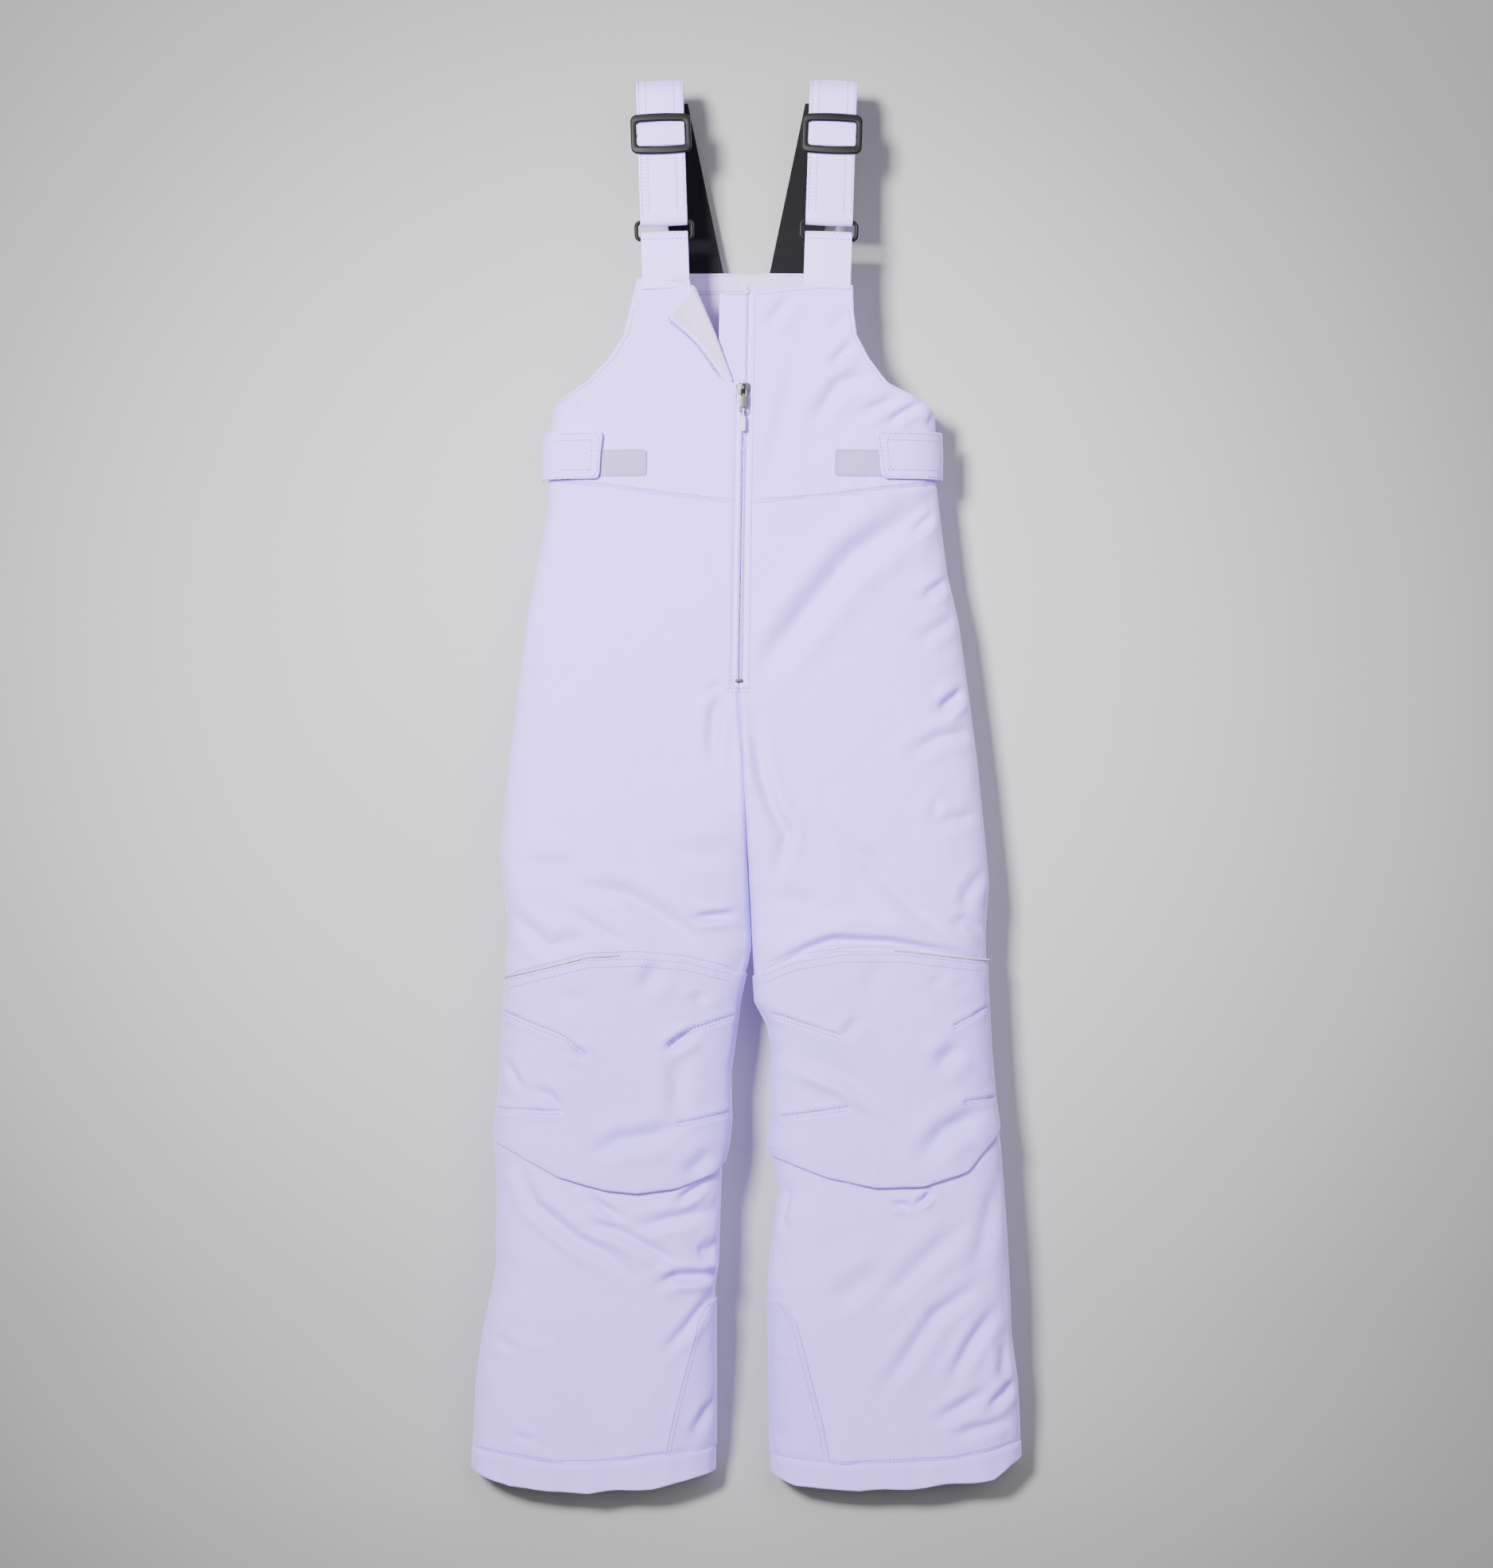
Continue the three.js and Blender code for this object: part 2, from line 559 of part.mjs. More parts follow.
// From the back of its loop round the ring, up the front and over the shoulder.
function strapPath(barY) {
  const turn = LOOP_ROOM.strap + STRAP.thick / 2;
  const over = arc([ARCH_R, ARCH_Z], ARCH_R, 180, 2 * STRAP.tilt, 10);
  const [y, z] = over.at(-1);
  return [
    ...arc([barY, RING.high + LOOP_ROOM.seat], turn, 0, -180, 8),
    [0, RING.high + 20],
    [0, GLIDE.z],
    ...over,
    [y + STRAP.tail * Math.sin(2 * TILT), z - STRAP.tail * Math.cos(2 * TILT)],
  ];
}

// Back run of the loop, from the ring up to its end sewn round the tri-glide's bar.
function strapReturn(barY) {
  const turn = LOOP_ROOM.strap + STRAP.thick / 2;
  const path = [
    [barY + turn, RING.high + LOOP_ROOM.seat + GAP],
    [barY + turn - 0.6, RING.high + 16],
    [STRAP.thick / 2 + GLIDE.bar + 0.6 + GAP + STRAP.thick / 2, GLIDE.z - 2],
  ];
  return webbing(path, STRAP.thick, STRAP.width);
}

// Short webbing loop sewn to the bib, round the ring's lower bar.
function strapRoot(barY) {
  const turn = LOOP_ROOM.root + STRAP.thick / 2;
  const centre = [barY + RING.drop * Math.sin(TILT), RING.high - RING.drop * Math.cos(TILT)];
  const foot = (STRAP.width / 2) * Math.sin(LEAN) + GAP + 0.1; // clears the bib where the strap leans
  const path = [
    [STRAP.thick + 1, foot],
    ...arc(centre, turn, 0, 180, 8),
    [0, foot],
  ];
  return webbing(path, STRAP.thick, STRAP.width);
}

// Flat outline of a buckle: a rectangle with clipped corners, bowed out at top and bottom.
function buckleShape(width, height, corner, bow) {
  const [w, h] = [width / 2, height / 2];
  const shape = new THREE.Shape();
  shape.moveTo(-w + corner, -h);
  shape.quadraticCurveTo(0, -h - 2 * bow, w - corner, -h);
  shape.quadraticCurveTo(w, -h, w, -h + corner);
  shape.lineTo(w, h - corner);
  shape.quadraticCurveTo(w, h, w - corner, h);
  shape.quadraticCurveTo(0, h + 2 * bow, -w + corner, h);
  shape.quadraticCurveTo(-w, h, -w, h - corner);
  shape.lineTo(-w, -h + corner);
  shape.quadraticCurveTo(-w, -h, -w + corner, -h);
  return shape;
}

// Extrudes a flat outline from depth y0 to y1, standing upright at a height.
function upright(shape, y0, y1, z) {
  return new THREE.ExtrudeGeometry(shape, { depth: y1 - y0, bevelEnabled: false, curveSegments: 3 })
    .rotateX(Math.PI / 2)
    .translate(0, y1, z);
}

// Ring of round bars that joins the strap to its root, hanging from its top bar at the origin.
function ring() {
  const [w, h, corner, steps] = [(RING.width - BAR) / 2, RING.drop, 3, 32];
  const half = [[w - corner, -h], [w, -h + corner], [w, -corner], [w - corner, 0]];
  const loop = [...half, ...half.map(([x, z]) => [-x, -h - z])];
  const points = loop.map(([x, z]) => new THREE.Vector3(x, 0, z));
  const path = new THREE.CurvePath();
  points.forEach((p, i) => path.add(new THREE.LineCurve3(p, points[(i + 1) % points.length])));
  const rim = new THREE.CatmullRomCurve3(path.getSpacedPoints(steps).slice(0, -1), true);
  return new THREE.TubeGeometry(rim, steps, BAR / 2, 8, true);
}

// Length adjuster: the webbing runs behind the frame's rails and in front of its centre bar.
function triGlide() {
  const face = -STRAP.thick / 2 - 0.4;
  const back = STRAP.thick / 2 + 0.6 + GLIDE.bar;
  const frame = buckleShape(GLIDE.width, GLIDE.height - 2, 4, 1);
  frame.holes.push(buckleShape(GLIDE.window, GLIDE.height - 2 - 2 * GLIDE.rail, 3, 0));
  const cheek = (x0, x1) => block([x0, face - 0.1, GLIDE.z - 5], [x1, back, GLIDE.z + 5]);
  const [near, far] = [GLIDE.window / 2, GLIDE.width / 2];
  return joined(
    upright(frame, face - GLIDE.thick, face, GLIDE.z),
    cheek(near, far),
    cheek(-far, -near),
    block([-near - 0.1, back - GLIDE.bar, GLIDE.z - 2.2], [near + 0.1, back, GLIDE.z + 2.2]),
  );
}

// Back run of a strap, from the end of the webbing arch to the top of the back bib.
function backElastic(side, strapGroup) {
  strapGroup.updateMatrixWorld(true);
  const [y, z] = strapPath(STRAP.thick / 2 + LOOP_ROOM.strap).at(-1);
  const top = strapGroup.localToWorld(new THREE.Vector3(0, y, z));
  const low = new THREE.Vector3(side * ELASTIC.x, 0, BACK_TOP + GAP);
  const at = (offset) => (u, v) => {
    const p = low.clone().lerp(top, v);
    const across = lerp(-ELASTIC.width / 2, ELASTIC.width / 2, u);
    const drop = v === 1 ? -side * across * Math.tan(LEAN) - 2 * GAP : 0;
    const footY = shellY(1, p.x + across, BACK_TOP, SHELL / 2);
    return [p.x + across, lerp(footY, top.y, v) + offset, p.z + drop];
  };
  const half = ELASTIC.thick / 2;
  return meshOf(`${sideName(side)}_back_elastic`, slab(at(half), at(-half), 2, 1), blackElastic);
}

// ---------------------------------------------------------------- waist adjusters
// Layer on the front of the waist, from x0 to x1 and at a height above the shell.
function waistLayer(side, x0, x1, low, top, rise, thick, columns) {
  const at = (offset) => (u, v) => {
    const z = lerp(low, top, v);
    const reach = along(OUTSEAM, z) + offset;
    const x = lerp(x0, Math.min(x1, reach), Math.sin(u * Math.PI / 2));
    const y = Math.max(GAP, (depthOf(-1, z) + offset) * oval(x / reach));
    return [side * x, -y, z];
  };
  return slab(at(rise + thick), at(rise), columns, 1);
}

function waistAdjuster(side) {
  const name = sideName(side);
  const reach = along(OUTSEAM, TAB.top);
  const hookRise = GAP + PATCH.thick + GAP;
  const tabRise = hookRise + PATCH.thick + GAP;
  const start = reach - TAB.length;
  const [inner, outer] = [reach - PATCH.far, reach - PATCH.near];
  return [
    meshOf(`${name}_loop_patch`,
      waistLayer(side, inner, outer, PATCH.low, PATCH.top, GAP, PATCH.thick, 6), loopPile),
    meshOf(`${name}_hook_patch`,
      waistLayer(side, start + 4, outer, PATCH.low, PATCH.top, hookRise, PATCH.thick, 5), loopPile),
    meshOf(`${name}_waist_tab`,
      waistLayer(side, start, reach + 99, TAB.low, TAB.top, tabRise, TAB.thick, 9), shellFabric),
  ];
}

// ---------------------------------------------------------------- assembly
const bibPants = new THREE.Group();
bibPants.add(bibBack(), ...backTrim(), zip(), windFlap(), lapel());
for (const side of [1, -1]) {
  const strapGroup = strap(side);
  bibPants.add(
    bibFront(side), thighFront(side), thighBack(side), ...lowerLeg(side), hemBand(side), scuffGuard(side),
    ...snowCuff(side), kneePiping(side), strapGroup, backElastic(side, strapGroup), ...waistAdjuster(side),
  );
}

export default bibPants;
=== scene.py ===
"""Looks of a child's insulated ski bib pants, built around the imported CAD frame.

Sizes are in millimetres in the row frame until a mesh is made: +Z up, the wearer faces -Y, +X the wearer's left.
"""

import json
import logging
import math
from dataclasses import dataclass, field
from enum import Enum
from typing import Callable, Optional, Sequence

import bmesh
import bpy
import numpy as np
from mathutils import Matrix, Vector

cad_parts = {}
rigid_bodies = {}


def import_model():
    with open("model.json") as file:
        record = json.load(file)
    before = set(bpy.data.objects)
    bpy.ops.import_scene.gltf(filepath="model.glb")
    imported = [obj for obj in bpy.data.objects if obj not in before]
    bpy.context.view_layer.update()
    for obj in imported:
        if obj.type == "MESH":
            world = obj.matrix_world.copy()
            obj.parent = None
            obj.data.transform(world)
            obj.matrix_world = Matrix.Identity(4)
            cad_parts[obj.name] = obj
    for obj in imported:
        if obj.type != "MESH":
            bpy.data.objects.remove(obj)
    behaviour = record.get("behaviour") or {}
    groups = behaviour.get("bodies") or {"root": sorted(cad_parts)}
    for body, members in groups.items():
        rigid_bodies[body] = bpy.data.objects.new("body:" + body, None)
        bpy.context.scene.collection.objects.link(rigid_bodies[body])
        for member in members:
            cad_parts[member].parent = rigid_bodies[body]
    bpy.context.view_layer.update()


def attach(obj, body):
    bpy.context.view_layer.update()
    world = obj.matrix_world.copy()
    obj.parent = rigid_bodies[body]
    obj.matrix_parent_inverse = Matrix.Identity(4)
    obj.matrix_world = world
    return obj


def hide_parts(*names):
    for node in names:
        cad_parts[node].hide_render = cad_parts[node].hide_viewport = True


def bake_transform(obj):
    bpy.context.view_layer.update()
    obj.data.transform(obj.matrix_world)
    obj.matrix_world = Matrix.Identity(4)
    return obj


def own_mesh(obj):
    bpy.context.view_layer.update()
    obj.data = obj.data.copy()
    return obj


LOG = logging.getLogger("ski_bib")
MM = 0.001
Array = np.ndarray
Path2 = Sequence[tuple[float, float]]
Rule = Callable[[Array], Array]
Lines = Sequence[tuple[Array, Array]]
Piece = bpy.types.Object
Material = bpy.types.Material
FRONTWARDS = np.array([0.0, -1.0, 0.0])
ZIP_SLOPE = 0.016
ZIP_GAP = 5.4


class Side(Enum):
    """Which half of the garment, and the sign of its X."""

    LEFT = 1
    RIGHT = -1

    @property
    def label(self) -> str:
        """Prefix of the CAD names on this side."""
        return self.name.lower()


class Face(Enum):
    """Front or back of the garment, and the sign of its Y."""

    FRONT = -1
    BACK = 1


LEFT, RIGHT = Side
FRONT, BACK = Face


# --- small mathematics
def smooth(t: Array) -> Array:
    """Smooth step from 0 to 1."""
    t = np.clip(t, 0.0, 1.0)
    return t * t * (3.0 - 2.0 * t)


def read(rows: Path2, z: Array) -> Array:
    """Straight-line reading of (height, value) rows that fall with height."""
    table = np.array(rows, float)
    return np.interp(-np.asarray(z, float), -table[:, 0], table[:, 1])


def unit(v: Array) -> Array:
    """Vectors scaled to length 1."""
    return v / np.maximum(np.linalg.norm(v, axis=-1, keepdims=True), 1e-9)


def moved(place: Sequence[float]) -> Array:
    """Matrix that moves by a vector."""
    out = np.eye(4)
    out[:3, 3] = place
    return out


def carried(points: Array, frame: Array) -> Array:
    """Points moved by a matrix."""
    return points @ frame[:3, :3].T + frame[:3, 3]


class Lattice:
    """Smooth seeded noise over a plane, from about -1 to 1."""

    SIZE = 64

    def __init__(self, seed: int) -> None:
        """Draws the lattice for a seed."""
        self.grid = np.random.default_rng(seed).uniform(-1.0, 1.0, (self.SIZE, self.SIZE))

    def at(self, u: Array, v: Array) -> Array:
        """Noise at points given in lattice cells."""
        u, v = np.broadcast_arrays(np.asarray(u, float), np.asarray(v, float))
        i, j = np.floor(u).astype(int), np.floor(v).astype(int)
        fu, fv = smooth(u - i), smooth(v - j)
        n = self.SIZE
        corner = [[self.grid[(i + a) % n, (j + b) % n] for b in (0, 1)] for a in (0, 1)]
        low = corner[0][0] * (1 - fv) + corner[0][1] * fv
        high = corner[1][0] * (1 - fv) + corner[1][1] * fv
        return low * (1 - fu) + high * fu


def path_reading(path: Path2, x: Array, z: Array) -> tuple[Array, Array, Array, float]:
    """Nearest point of a polyline in the X-Z plane.

    Args:
        path: the polyline's points.
        x: X of the points read.
        z: Z of the points read.

    Returns:
        Distance, length along the path, signed side (+ left of its direction), and the path's length.
    """
    points = np.array(path, float)
    best = np.full(x.shape, 1e9)
    along = np.zeros(x.shape)
    side = np.zeros(x.shape)
    start = 0.0
    for a, b in zip(points[:-1], points[1:]):
        d = b - a
        length = float(np.hypot(*d))
        t = np.clip(((x - a[0]) * d[0] + (z - a[1]) * d[1]) / length**2, 0, 1)
        dx, dz = x - a[0] - t * d[0], z - a[1] - t * d[1]
        gap = np.hypot(dx, dz)
        nearer = gap < best
        best = np.where(nearer, gap, best)
        along = np.where(nearer, start + t * length, along)
        side = np.where(nearer, np.sign(d[0] * dz - d[1] * dx), side)
        start += length
    return best, along, side, start


# --- relief of the fabric
@dataclass(frozen=True)
class Crease:
    """A fold pressed into the fabric along a path: a valley with softer shoulders, or a ridge if depth < 0."""

    depth: float
    width: float
    path: Path2
    shoulder: float = 0.42

    def height(self, x: Array, z: Array) -> Array:
        """Outward height that the fold adds at points."""
        reach = self.width * 4.0
        p = np.array(self.path, float)
        near = (x > p[:, 0].min() - reach) & (x < p[:, 0].max() + reach)
        near &= (z > p[:, 1].min() - reach) & (z < p[:, 1].max() + reach)
        out = np.zeros(x.shape)
        if not near.any():
            return out
        gap, along, _, length = path_reading(self.path, x[near], z[near])
        ends = np.minimum(along, length - along) + 0.12 * length
        width = self.width * 0.85
        shape = -np.exp(-((gap / width) ** 2))
        shape += self.shoulder * np.exp(-(((gap - 2.0 * width) / (1.1 * width)) ** 2))
        out[near] = self.depth * shape * smooth(ends / (0.5 * length)) * smooth((reach - gap) / self.width)
        return out


@dataclass(frozen=True)
class Seam:
    """A sewn line: a narrow groove, and puckers that run across it and fade away from it."""

    path: Path2
    groove: float
    width: float
    pucker: float
    pitch: float
    reach: float
    seed: int

    def height(self, x: Array, z: Array) -> Array:
        """Outward height that the seam adds at points."""
        gap, along, side, _ = path_reading(self.path, x, z)
        waves = Lattice(self.seed).at(along / self.pitch, side * 2.0 + 7.5 + gap / 40.0)
        fine = Lattice(self.seed + 50).at(along / (self.pitch * 0.45), side * 2.0 + 3.5)
        out = -self.groove * np.exp(-((gap / self.width) ** 2))
        out += self.pucker * (waves + 0.35 * fine) * np.exp(-gap / self.reach)
        out += 0.35 * self.groove * np.exp(-(((gap - 4.0) / 3.0) ** 2))
        return out


@dataclass(frozen=True)
class Relief:
    """Everything that shapes one face of the fabric."""

    creases: tuple[Crease, ...]
    seams: tuple[Seam, ...]
    swell: float = 1.1
    crumple: float = 0.5
    seed: int = 11
    sharp: float = 1.55

    def height(self, x: Array, z: Array) -> Array:
        """Outward height of the fabric above its plain form at points."""
        out = self.swell * Lattice(self.seed).at(x / 62.0 + 9, z / 74.0 + 3)
        bend = 9.0 * Lattice(self.seed + 1).at(x / 48.0, z / 48.0)
        ridges = 1.0 - np.abs(Lattice(self.seed + 2).at((x + bend) / 23.0 + 5, (z - bend) / 31.0))
        out += self.crumple * (ridges**2 - 0.4)
        out += 0.35 * self.crumple * Lattice(self.seed + 3).at((x + bend) / 8.0, z / 9.5)
        for part in self.creases:
            out = out + self.sharp * part.height(x, z)
        for part in self.seams:
            out = out + part.height(x, z)
        return out


def pairs(*numbers: float) -> Path2:
    """A path's points from its numbers, two for each."""
    return tuple(zip(numbers[::2], numbers[1::2]))


def folds(*rows: tuple[float, ...]) -> tuple[Crease, ...]:
    """Creases from rows of depth, width and the numbers of the path."""
    return tuple(Crease(row[0], row[1], pairs(*row[2:])) for row in rows)


# --- form of the garment
OUTSEAM = {
    RIGHT: pairs(
        -163, 89, -191.8, 96.2, -211.2, 100.8, -230.8, 113.1, -250.2, 132.6, -266, 157, -272, 159.5, -308.8,
        163, -347.8, 163, -367.2, 166.4, -406.2, 174, -445.2, 181, -503.8, 188.5, -562.2, 195.7, -601.2, 200.2,
        -640.2, 202.8, -659.8, 200.8, -698.8, 195.7, -718.2, 197.6, -757.2, 198.9, -815.8, 201.5, -854.8, 206.1,
        -874.2, 208, -913.2, 205.4, -952.2, 206.7, -971.8, 206.1, -991.2, 209.3, -1030.2, 217.8, -1069.2, 223,
        -1127.8, 226, -1160, 226.4
    ),
    LEFT: pairs(
        -168, 87, -191.8, 87.8, -211.2, 90.4, -230.8, 100.8, -250.2, 115.7, -266, 148, -274, 155.3, -308.8,
        156.4, -328.2, 156, -367.2, 160.5, -406.2, 165.6, -445.2, 174.8, -503.8, 183, -562.2, 190.5, -620.8,
        196.3, -659.8, 199.8, -698.8, 197, -737.8, 197.6, -796.2, 200.8, -835.2, 204.1, -874.2, 209.3, -932.8,
        213.8, -991.2, 217.1, -1030.2, 218.4, -1069.2, 223.6, -1108.2, 225.6, -1160, 226.6
    ),
}
INSEAM = {
    RIGHT: pairs(
        -495, 6.2, -543, 3.9, -600, 1, -712, -4.4, -725, -2, -737.8, 1.6, -757.2, 5.9, -776.8, 8.2, -815.8,
        13.7, -854.8, 13, -874.2, 15, -893.8, 20, -952.2, 22, -971.8, 22.4, -991.2, 25.6, -1160, 25.4
    ),
    LEFT: pairs(
        -495, -6.2, -543, -3.9, -600, -1, -712, 4.6, -757.2, 7.6, -776.8, 18, -796.2, 22, -854.8, 20.8, -874.2,
        18, -893.8, 23, -913.2, 27, -932.8, 23.4, -952.2, 21, -991.2, 16.6, -1010.8, 18.2, -1160, 20.4
    ),
}


@dataclass(frozen=True)
class Form:
    """The plain shape of the garment, before its fabric is creased.

    Args:
        roundness: exponent of the flattened cross-sections.
        crotch: height where the legs are apart.
        rise: height over which the seat divides into two legs.
        zip_low: foot of the zip.
    """

    roundness: float = 3.0
    crotch: float = -700.0
    rise: float = 120.0
    zip_low: float = -495.0
    front: Path2 = ((-160, 34), (-500, 34), (-600, 38), (-850, 38), (-1165, 37))
    back: Path2 = ((-160, 31), (-330, 35), (-520, 44), (-650, 40), (-850, 37), (-1165, 37))

    def zip_x(self, z: Array) -> Array:
        """X of the zip's line."""
        return -3.6 + (np.asarray(z, float) + 335.0) * ZIP_SLOPE

    def outer(self, side: Side, z: Array) -> Array:
        """Distance of the side edge from the middle."""
        return read(OUTSEAM[side], z)

    def inner(self, side: Side, z: Array) -> Array:
        """Distance of the centre seam, then of the inseam, from the middle."""
        z = np.asarray(z, float)
        above = side.value * self.zip_x(z)
        return np.where(z > self.zip_low, above, read(INSEAM[side], z))

    def division(self, z: Array) -> Array:
        """How far the seat has divided into legs, 0 to 1."""
        return smooth((self.crotch + self.rise - z) / self.rise)

    def depth(self, face: Face, z: Array) -> Array:
        """Half-depth of one face."""
        return read(self.front if face is FRONT else self.back, z)

    def oval(self, s: Array) -> Array:
        """Height of a flattened oval over its own width."""
        return (1.0 - np.clip(np.abs(s), 0, 1) ** self.roundness) ** (1.0 / self.roundness)

    def spread(self, count: int) -> Array:
        """Shares of the way across a leg that lie evenly along its flattened oval."""
        s = np.sin(np.linspace(-np.pi / 2, np.pi / 2, 4001))
        y = 0.38 * self.oval(s)
        run = np.concatenate([[0], np.cumsum(np.hypot(np.diff(s), np.diff(y)))])
        even = np.interp(np.linspace(0, run[-1], count), run, s)
        return (even + 1) / 2


FORM = Form()


# --- creases and seams, front
CREASES_FRONT = folds(
    (5, 12, 154.1, -345.8, 86.5, -391.9, 52, -433.6, 25.4, -467.4, 3.9, -494),
    (2, 4, 156.7, -355.6, 134.6, -375.1), (2.5, 5, 166.4, -411.4, 144.3, -426.4),
    (1.5, 6, 173.6, -440.7, 141.7, -460.2), (2.2, 6, 180.7, -499.2, 156.7, -518.1),
    (2, 5, 88.4, -216.5, 67, -239.2), (2.6, 7, 105.3, -243.1, 76.7, -251.6, 54.6, -280.8),
    (2.2, 5, 122.9, -263.2, 93.6, -275.6), (2.4, 4, 144.3, -265.9, 115, -282.8),
    (1.5, 4, 155.3, -276.2, 148.2, -286), (1.8, 6, 37.7, -178.8, 23.4, -195.7, 11.1, -208),
    (1.2, 10, 44.9, -219.7, 32.5, -268.4, 13.7, -338.7), (0.8, 6, 83.9, -195.7, 67, -205.4),
    (1.3, 6, -130, -256.1, -107.9, -282.8, -71.5, -324.4), (0.9, 5, -154.1, -265.9, -132, -275.6),
    (0.7, 5, -30.6, -390, -15.6, -414.1), (1.4, 4, -18.2, -496.6, -35.1, -503.8),
    (2.6, 6, -19.5, -501.2, -26.7, -523.2, -27.9, -561),
    (2.8, 6, 6.5, -523.2, 12.3, -570.1, 21.4, -598.6, 33.1, -619.5, 24.1, -657.1),
    (2, 8, 55.9, -607.8, 99.5, -642.2, 140.4, -683.1, 161.8, -704.6),
    (2.2, 6, 189.8, -535, 158, -540.8, 134.6, -552.5), (2.5, 5, 182.7, -503.1, 158, -518.7),
    (1.6, 6, 189.8, -604.5, 154.7, -610.4), (0.9, 5, 156, -588.2, 152.1, -610.4),
    (1.4, 6, 198.2, -646, 181, -668, 176, -684), (1.6, 5, 196, -700, 178, -690, 166, -694),
    (3.6, 4, 12.3, -731.3, 53.3, -711.9, 70.9, -706.4, 114.4, -708, 186.6, -719.6),
    (1.6, 10, -193.7, -644.1, -132.6, -645.5),
    (2.8, 8, -144.3, -659.8, -97.5, -668.9, -68.9, -685.8, -31.2, -713.1),
    (1.4, 5, -150.2, -679.9, -124.2, -694.9, -94.9, -711.8),
    (2, 7, -193.7, -683.1, -161.8, -711.8, -130, -702), (4, 4, -42.9, -687.7, -10.4, -685.8),
    (1.1, 10, -65.7, -633.8, -10.4, -636.4), (0.9, 8, 21.4, -668.9, 59.1, -677.3),
    (3, 6, -187.2, -890.5, -173.6, -921.7, -139.1, -949.6, -107.9, -965.2, -93.6, -980.9),
    (2.4, 5, -135.8, -938.6, -107.9, -941.9, -70.2, -962, -48.8, -977.6),
    (2.6, 4, -126.8, -917.1, -101.4, -934.1), (2.6, 6, -92.3, -940.6, -45.5, -930.8, -23.4, -927.6),
    (3.2, 4, -56.6, -919.8, -33.1, -904.1), (5, 5, -72.2, -987.4, -57.9, -980.9, -23.4, -980.9),
    (3.4, 8, -41, -960.7, -22.8, -960.7), (2.2, 5, -26.7, -995.1, -45.5, -1018.6, -67.6, -1043.2),
    (1.3, 10, -170.3, -984.1, -158, -1027.7, -132.6, -1062.1, -117, -1093.3),
    (0.9, 5, -204.8, -1030.9, -185.9, -1043.2), (1, 4, -192.4, -1110, -170.3, -1116.5),
    (2, 5, -26.7, -1081, -45.5, -1112.2), (3, 3, 119.6, -920.5, 131.3, -923.7),
    (3.5, 3, 138.5, -922.5, 150.8, -912.4), (2, 11, 117, -971.8, 70.2, -1003),
    (2.2, 9, 179.4, -934.1, 135.2, -977.6, 98.2, -1012.1),
    (2.7, 7, 195, -984.1, 154.1, -1012.1, 129.3, -1049.8, 110.5, -1074.5),
    (3, 6, 204.1, -1008.8, 185.2, -1034.2, 166.4, -1068), (3, 5, 222.2, -1068, 197.6, -1090),
    (2.5, 6, 197.6, -1074.5, 154.1, -1099.2), (2, 5, 216.7, -1099.2, 169.7, -1110.2),
    (2, 6, 213.5, -1034.2, 210.2, -1068), (1.3, 4, 33.8, -902.9, 29.2, -934.1, 33.8, -949.6),
    (1.6, 8, 206.1, -900.2, 193.1, -952.2, 186.6, -978.2),
) + (
    Crease(-3, 9, ((20.3, -717.3), (53.3, -697.9), (90.9, -691.4), (144.4, -696), (186.6, -705.6)), 0.0),
)
CREASES_KNEE = folds(
    (2.4, 8, -69.5, -724.8, -87.1, -748.1), (1.8, 7, -37.1, -747.5, -40.3, -758.6),
    (2.2, 9, -57.2, -796.2, -55.2, -848.2), (2, 5, -131.3, -802.8, -140.4, -793),
    (1.6, 4, -196.3, -804.1, -181.3, -830.7), (1.8, 5, -175.5, -828.1, -161.2, -832.6, -148.8, -848.2),
    (3.6, 5, -42.9, -780.6, -66.3, -796.2), (3, 8, -54.6, -857.4, -78, -865.8, -102, -869.1, -125.5, -880.8),
    (2.2, 7, -27.9, -878.1, -52, -898.3), (0.9, 9, -154.7, -750.8, -127.4, -758.6),
    (1.4, 5, 78, -786.5, 92.3, -769), (1.5, 11, 39.6, -795.6, 66.3, -806, 98.8, -826.1),
    (-1.7, 6, 33.8, -811.2, 74.8, -826.8, 119, -852.8), (3, 8, 174.8, -792.4, 154.7, -809.9),
    (4, 9, 193.1, -845.6, 160.6, -863.2, 143, -884), (1.1, 9, 107.2, -721.5, 101.4, -751.4),
    (1.2, 8, 154.7, -734.5, 156, -745.6),
)
DARTS = (
    ((-197, -766), (-149, -785), (-132, -800)),
    ((-202, -845), (-153, -846)),
    ((-14, -769), (-45, -779), (-64, -792)),
    ((-18, -848), (-55, -856)),
    ((24, -767), (76, -784)),
    ((31, -851), (82, -843)),
    ((198, -761), (170, -776)),
    ((202, -836), (178, -838)),
)


def mirrored(creases: Sequence[Crease], seed: int) -> tuple[Crease, ...]:
    """Creases drawn for the wearer's left, with a slightly different set on the right."""
    rng = np.random.default_rng(seed)
    out = list(creases)
    for crease in creases:
        shift = rng.uniform(-9, 9, 2)
        path = tuple((-x + shift[0] * 0.5, z + shift[1]) for x, z in crease.path)
        out.append(Crease(crease.depth * rng.uniform(0.75, 1.2), crease.width, path))
    return tuple(out)


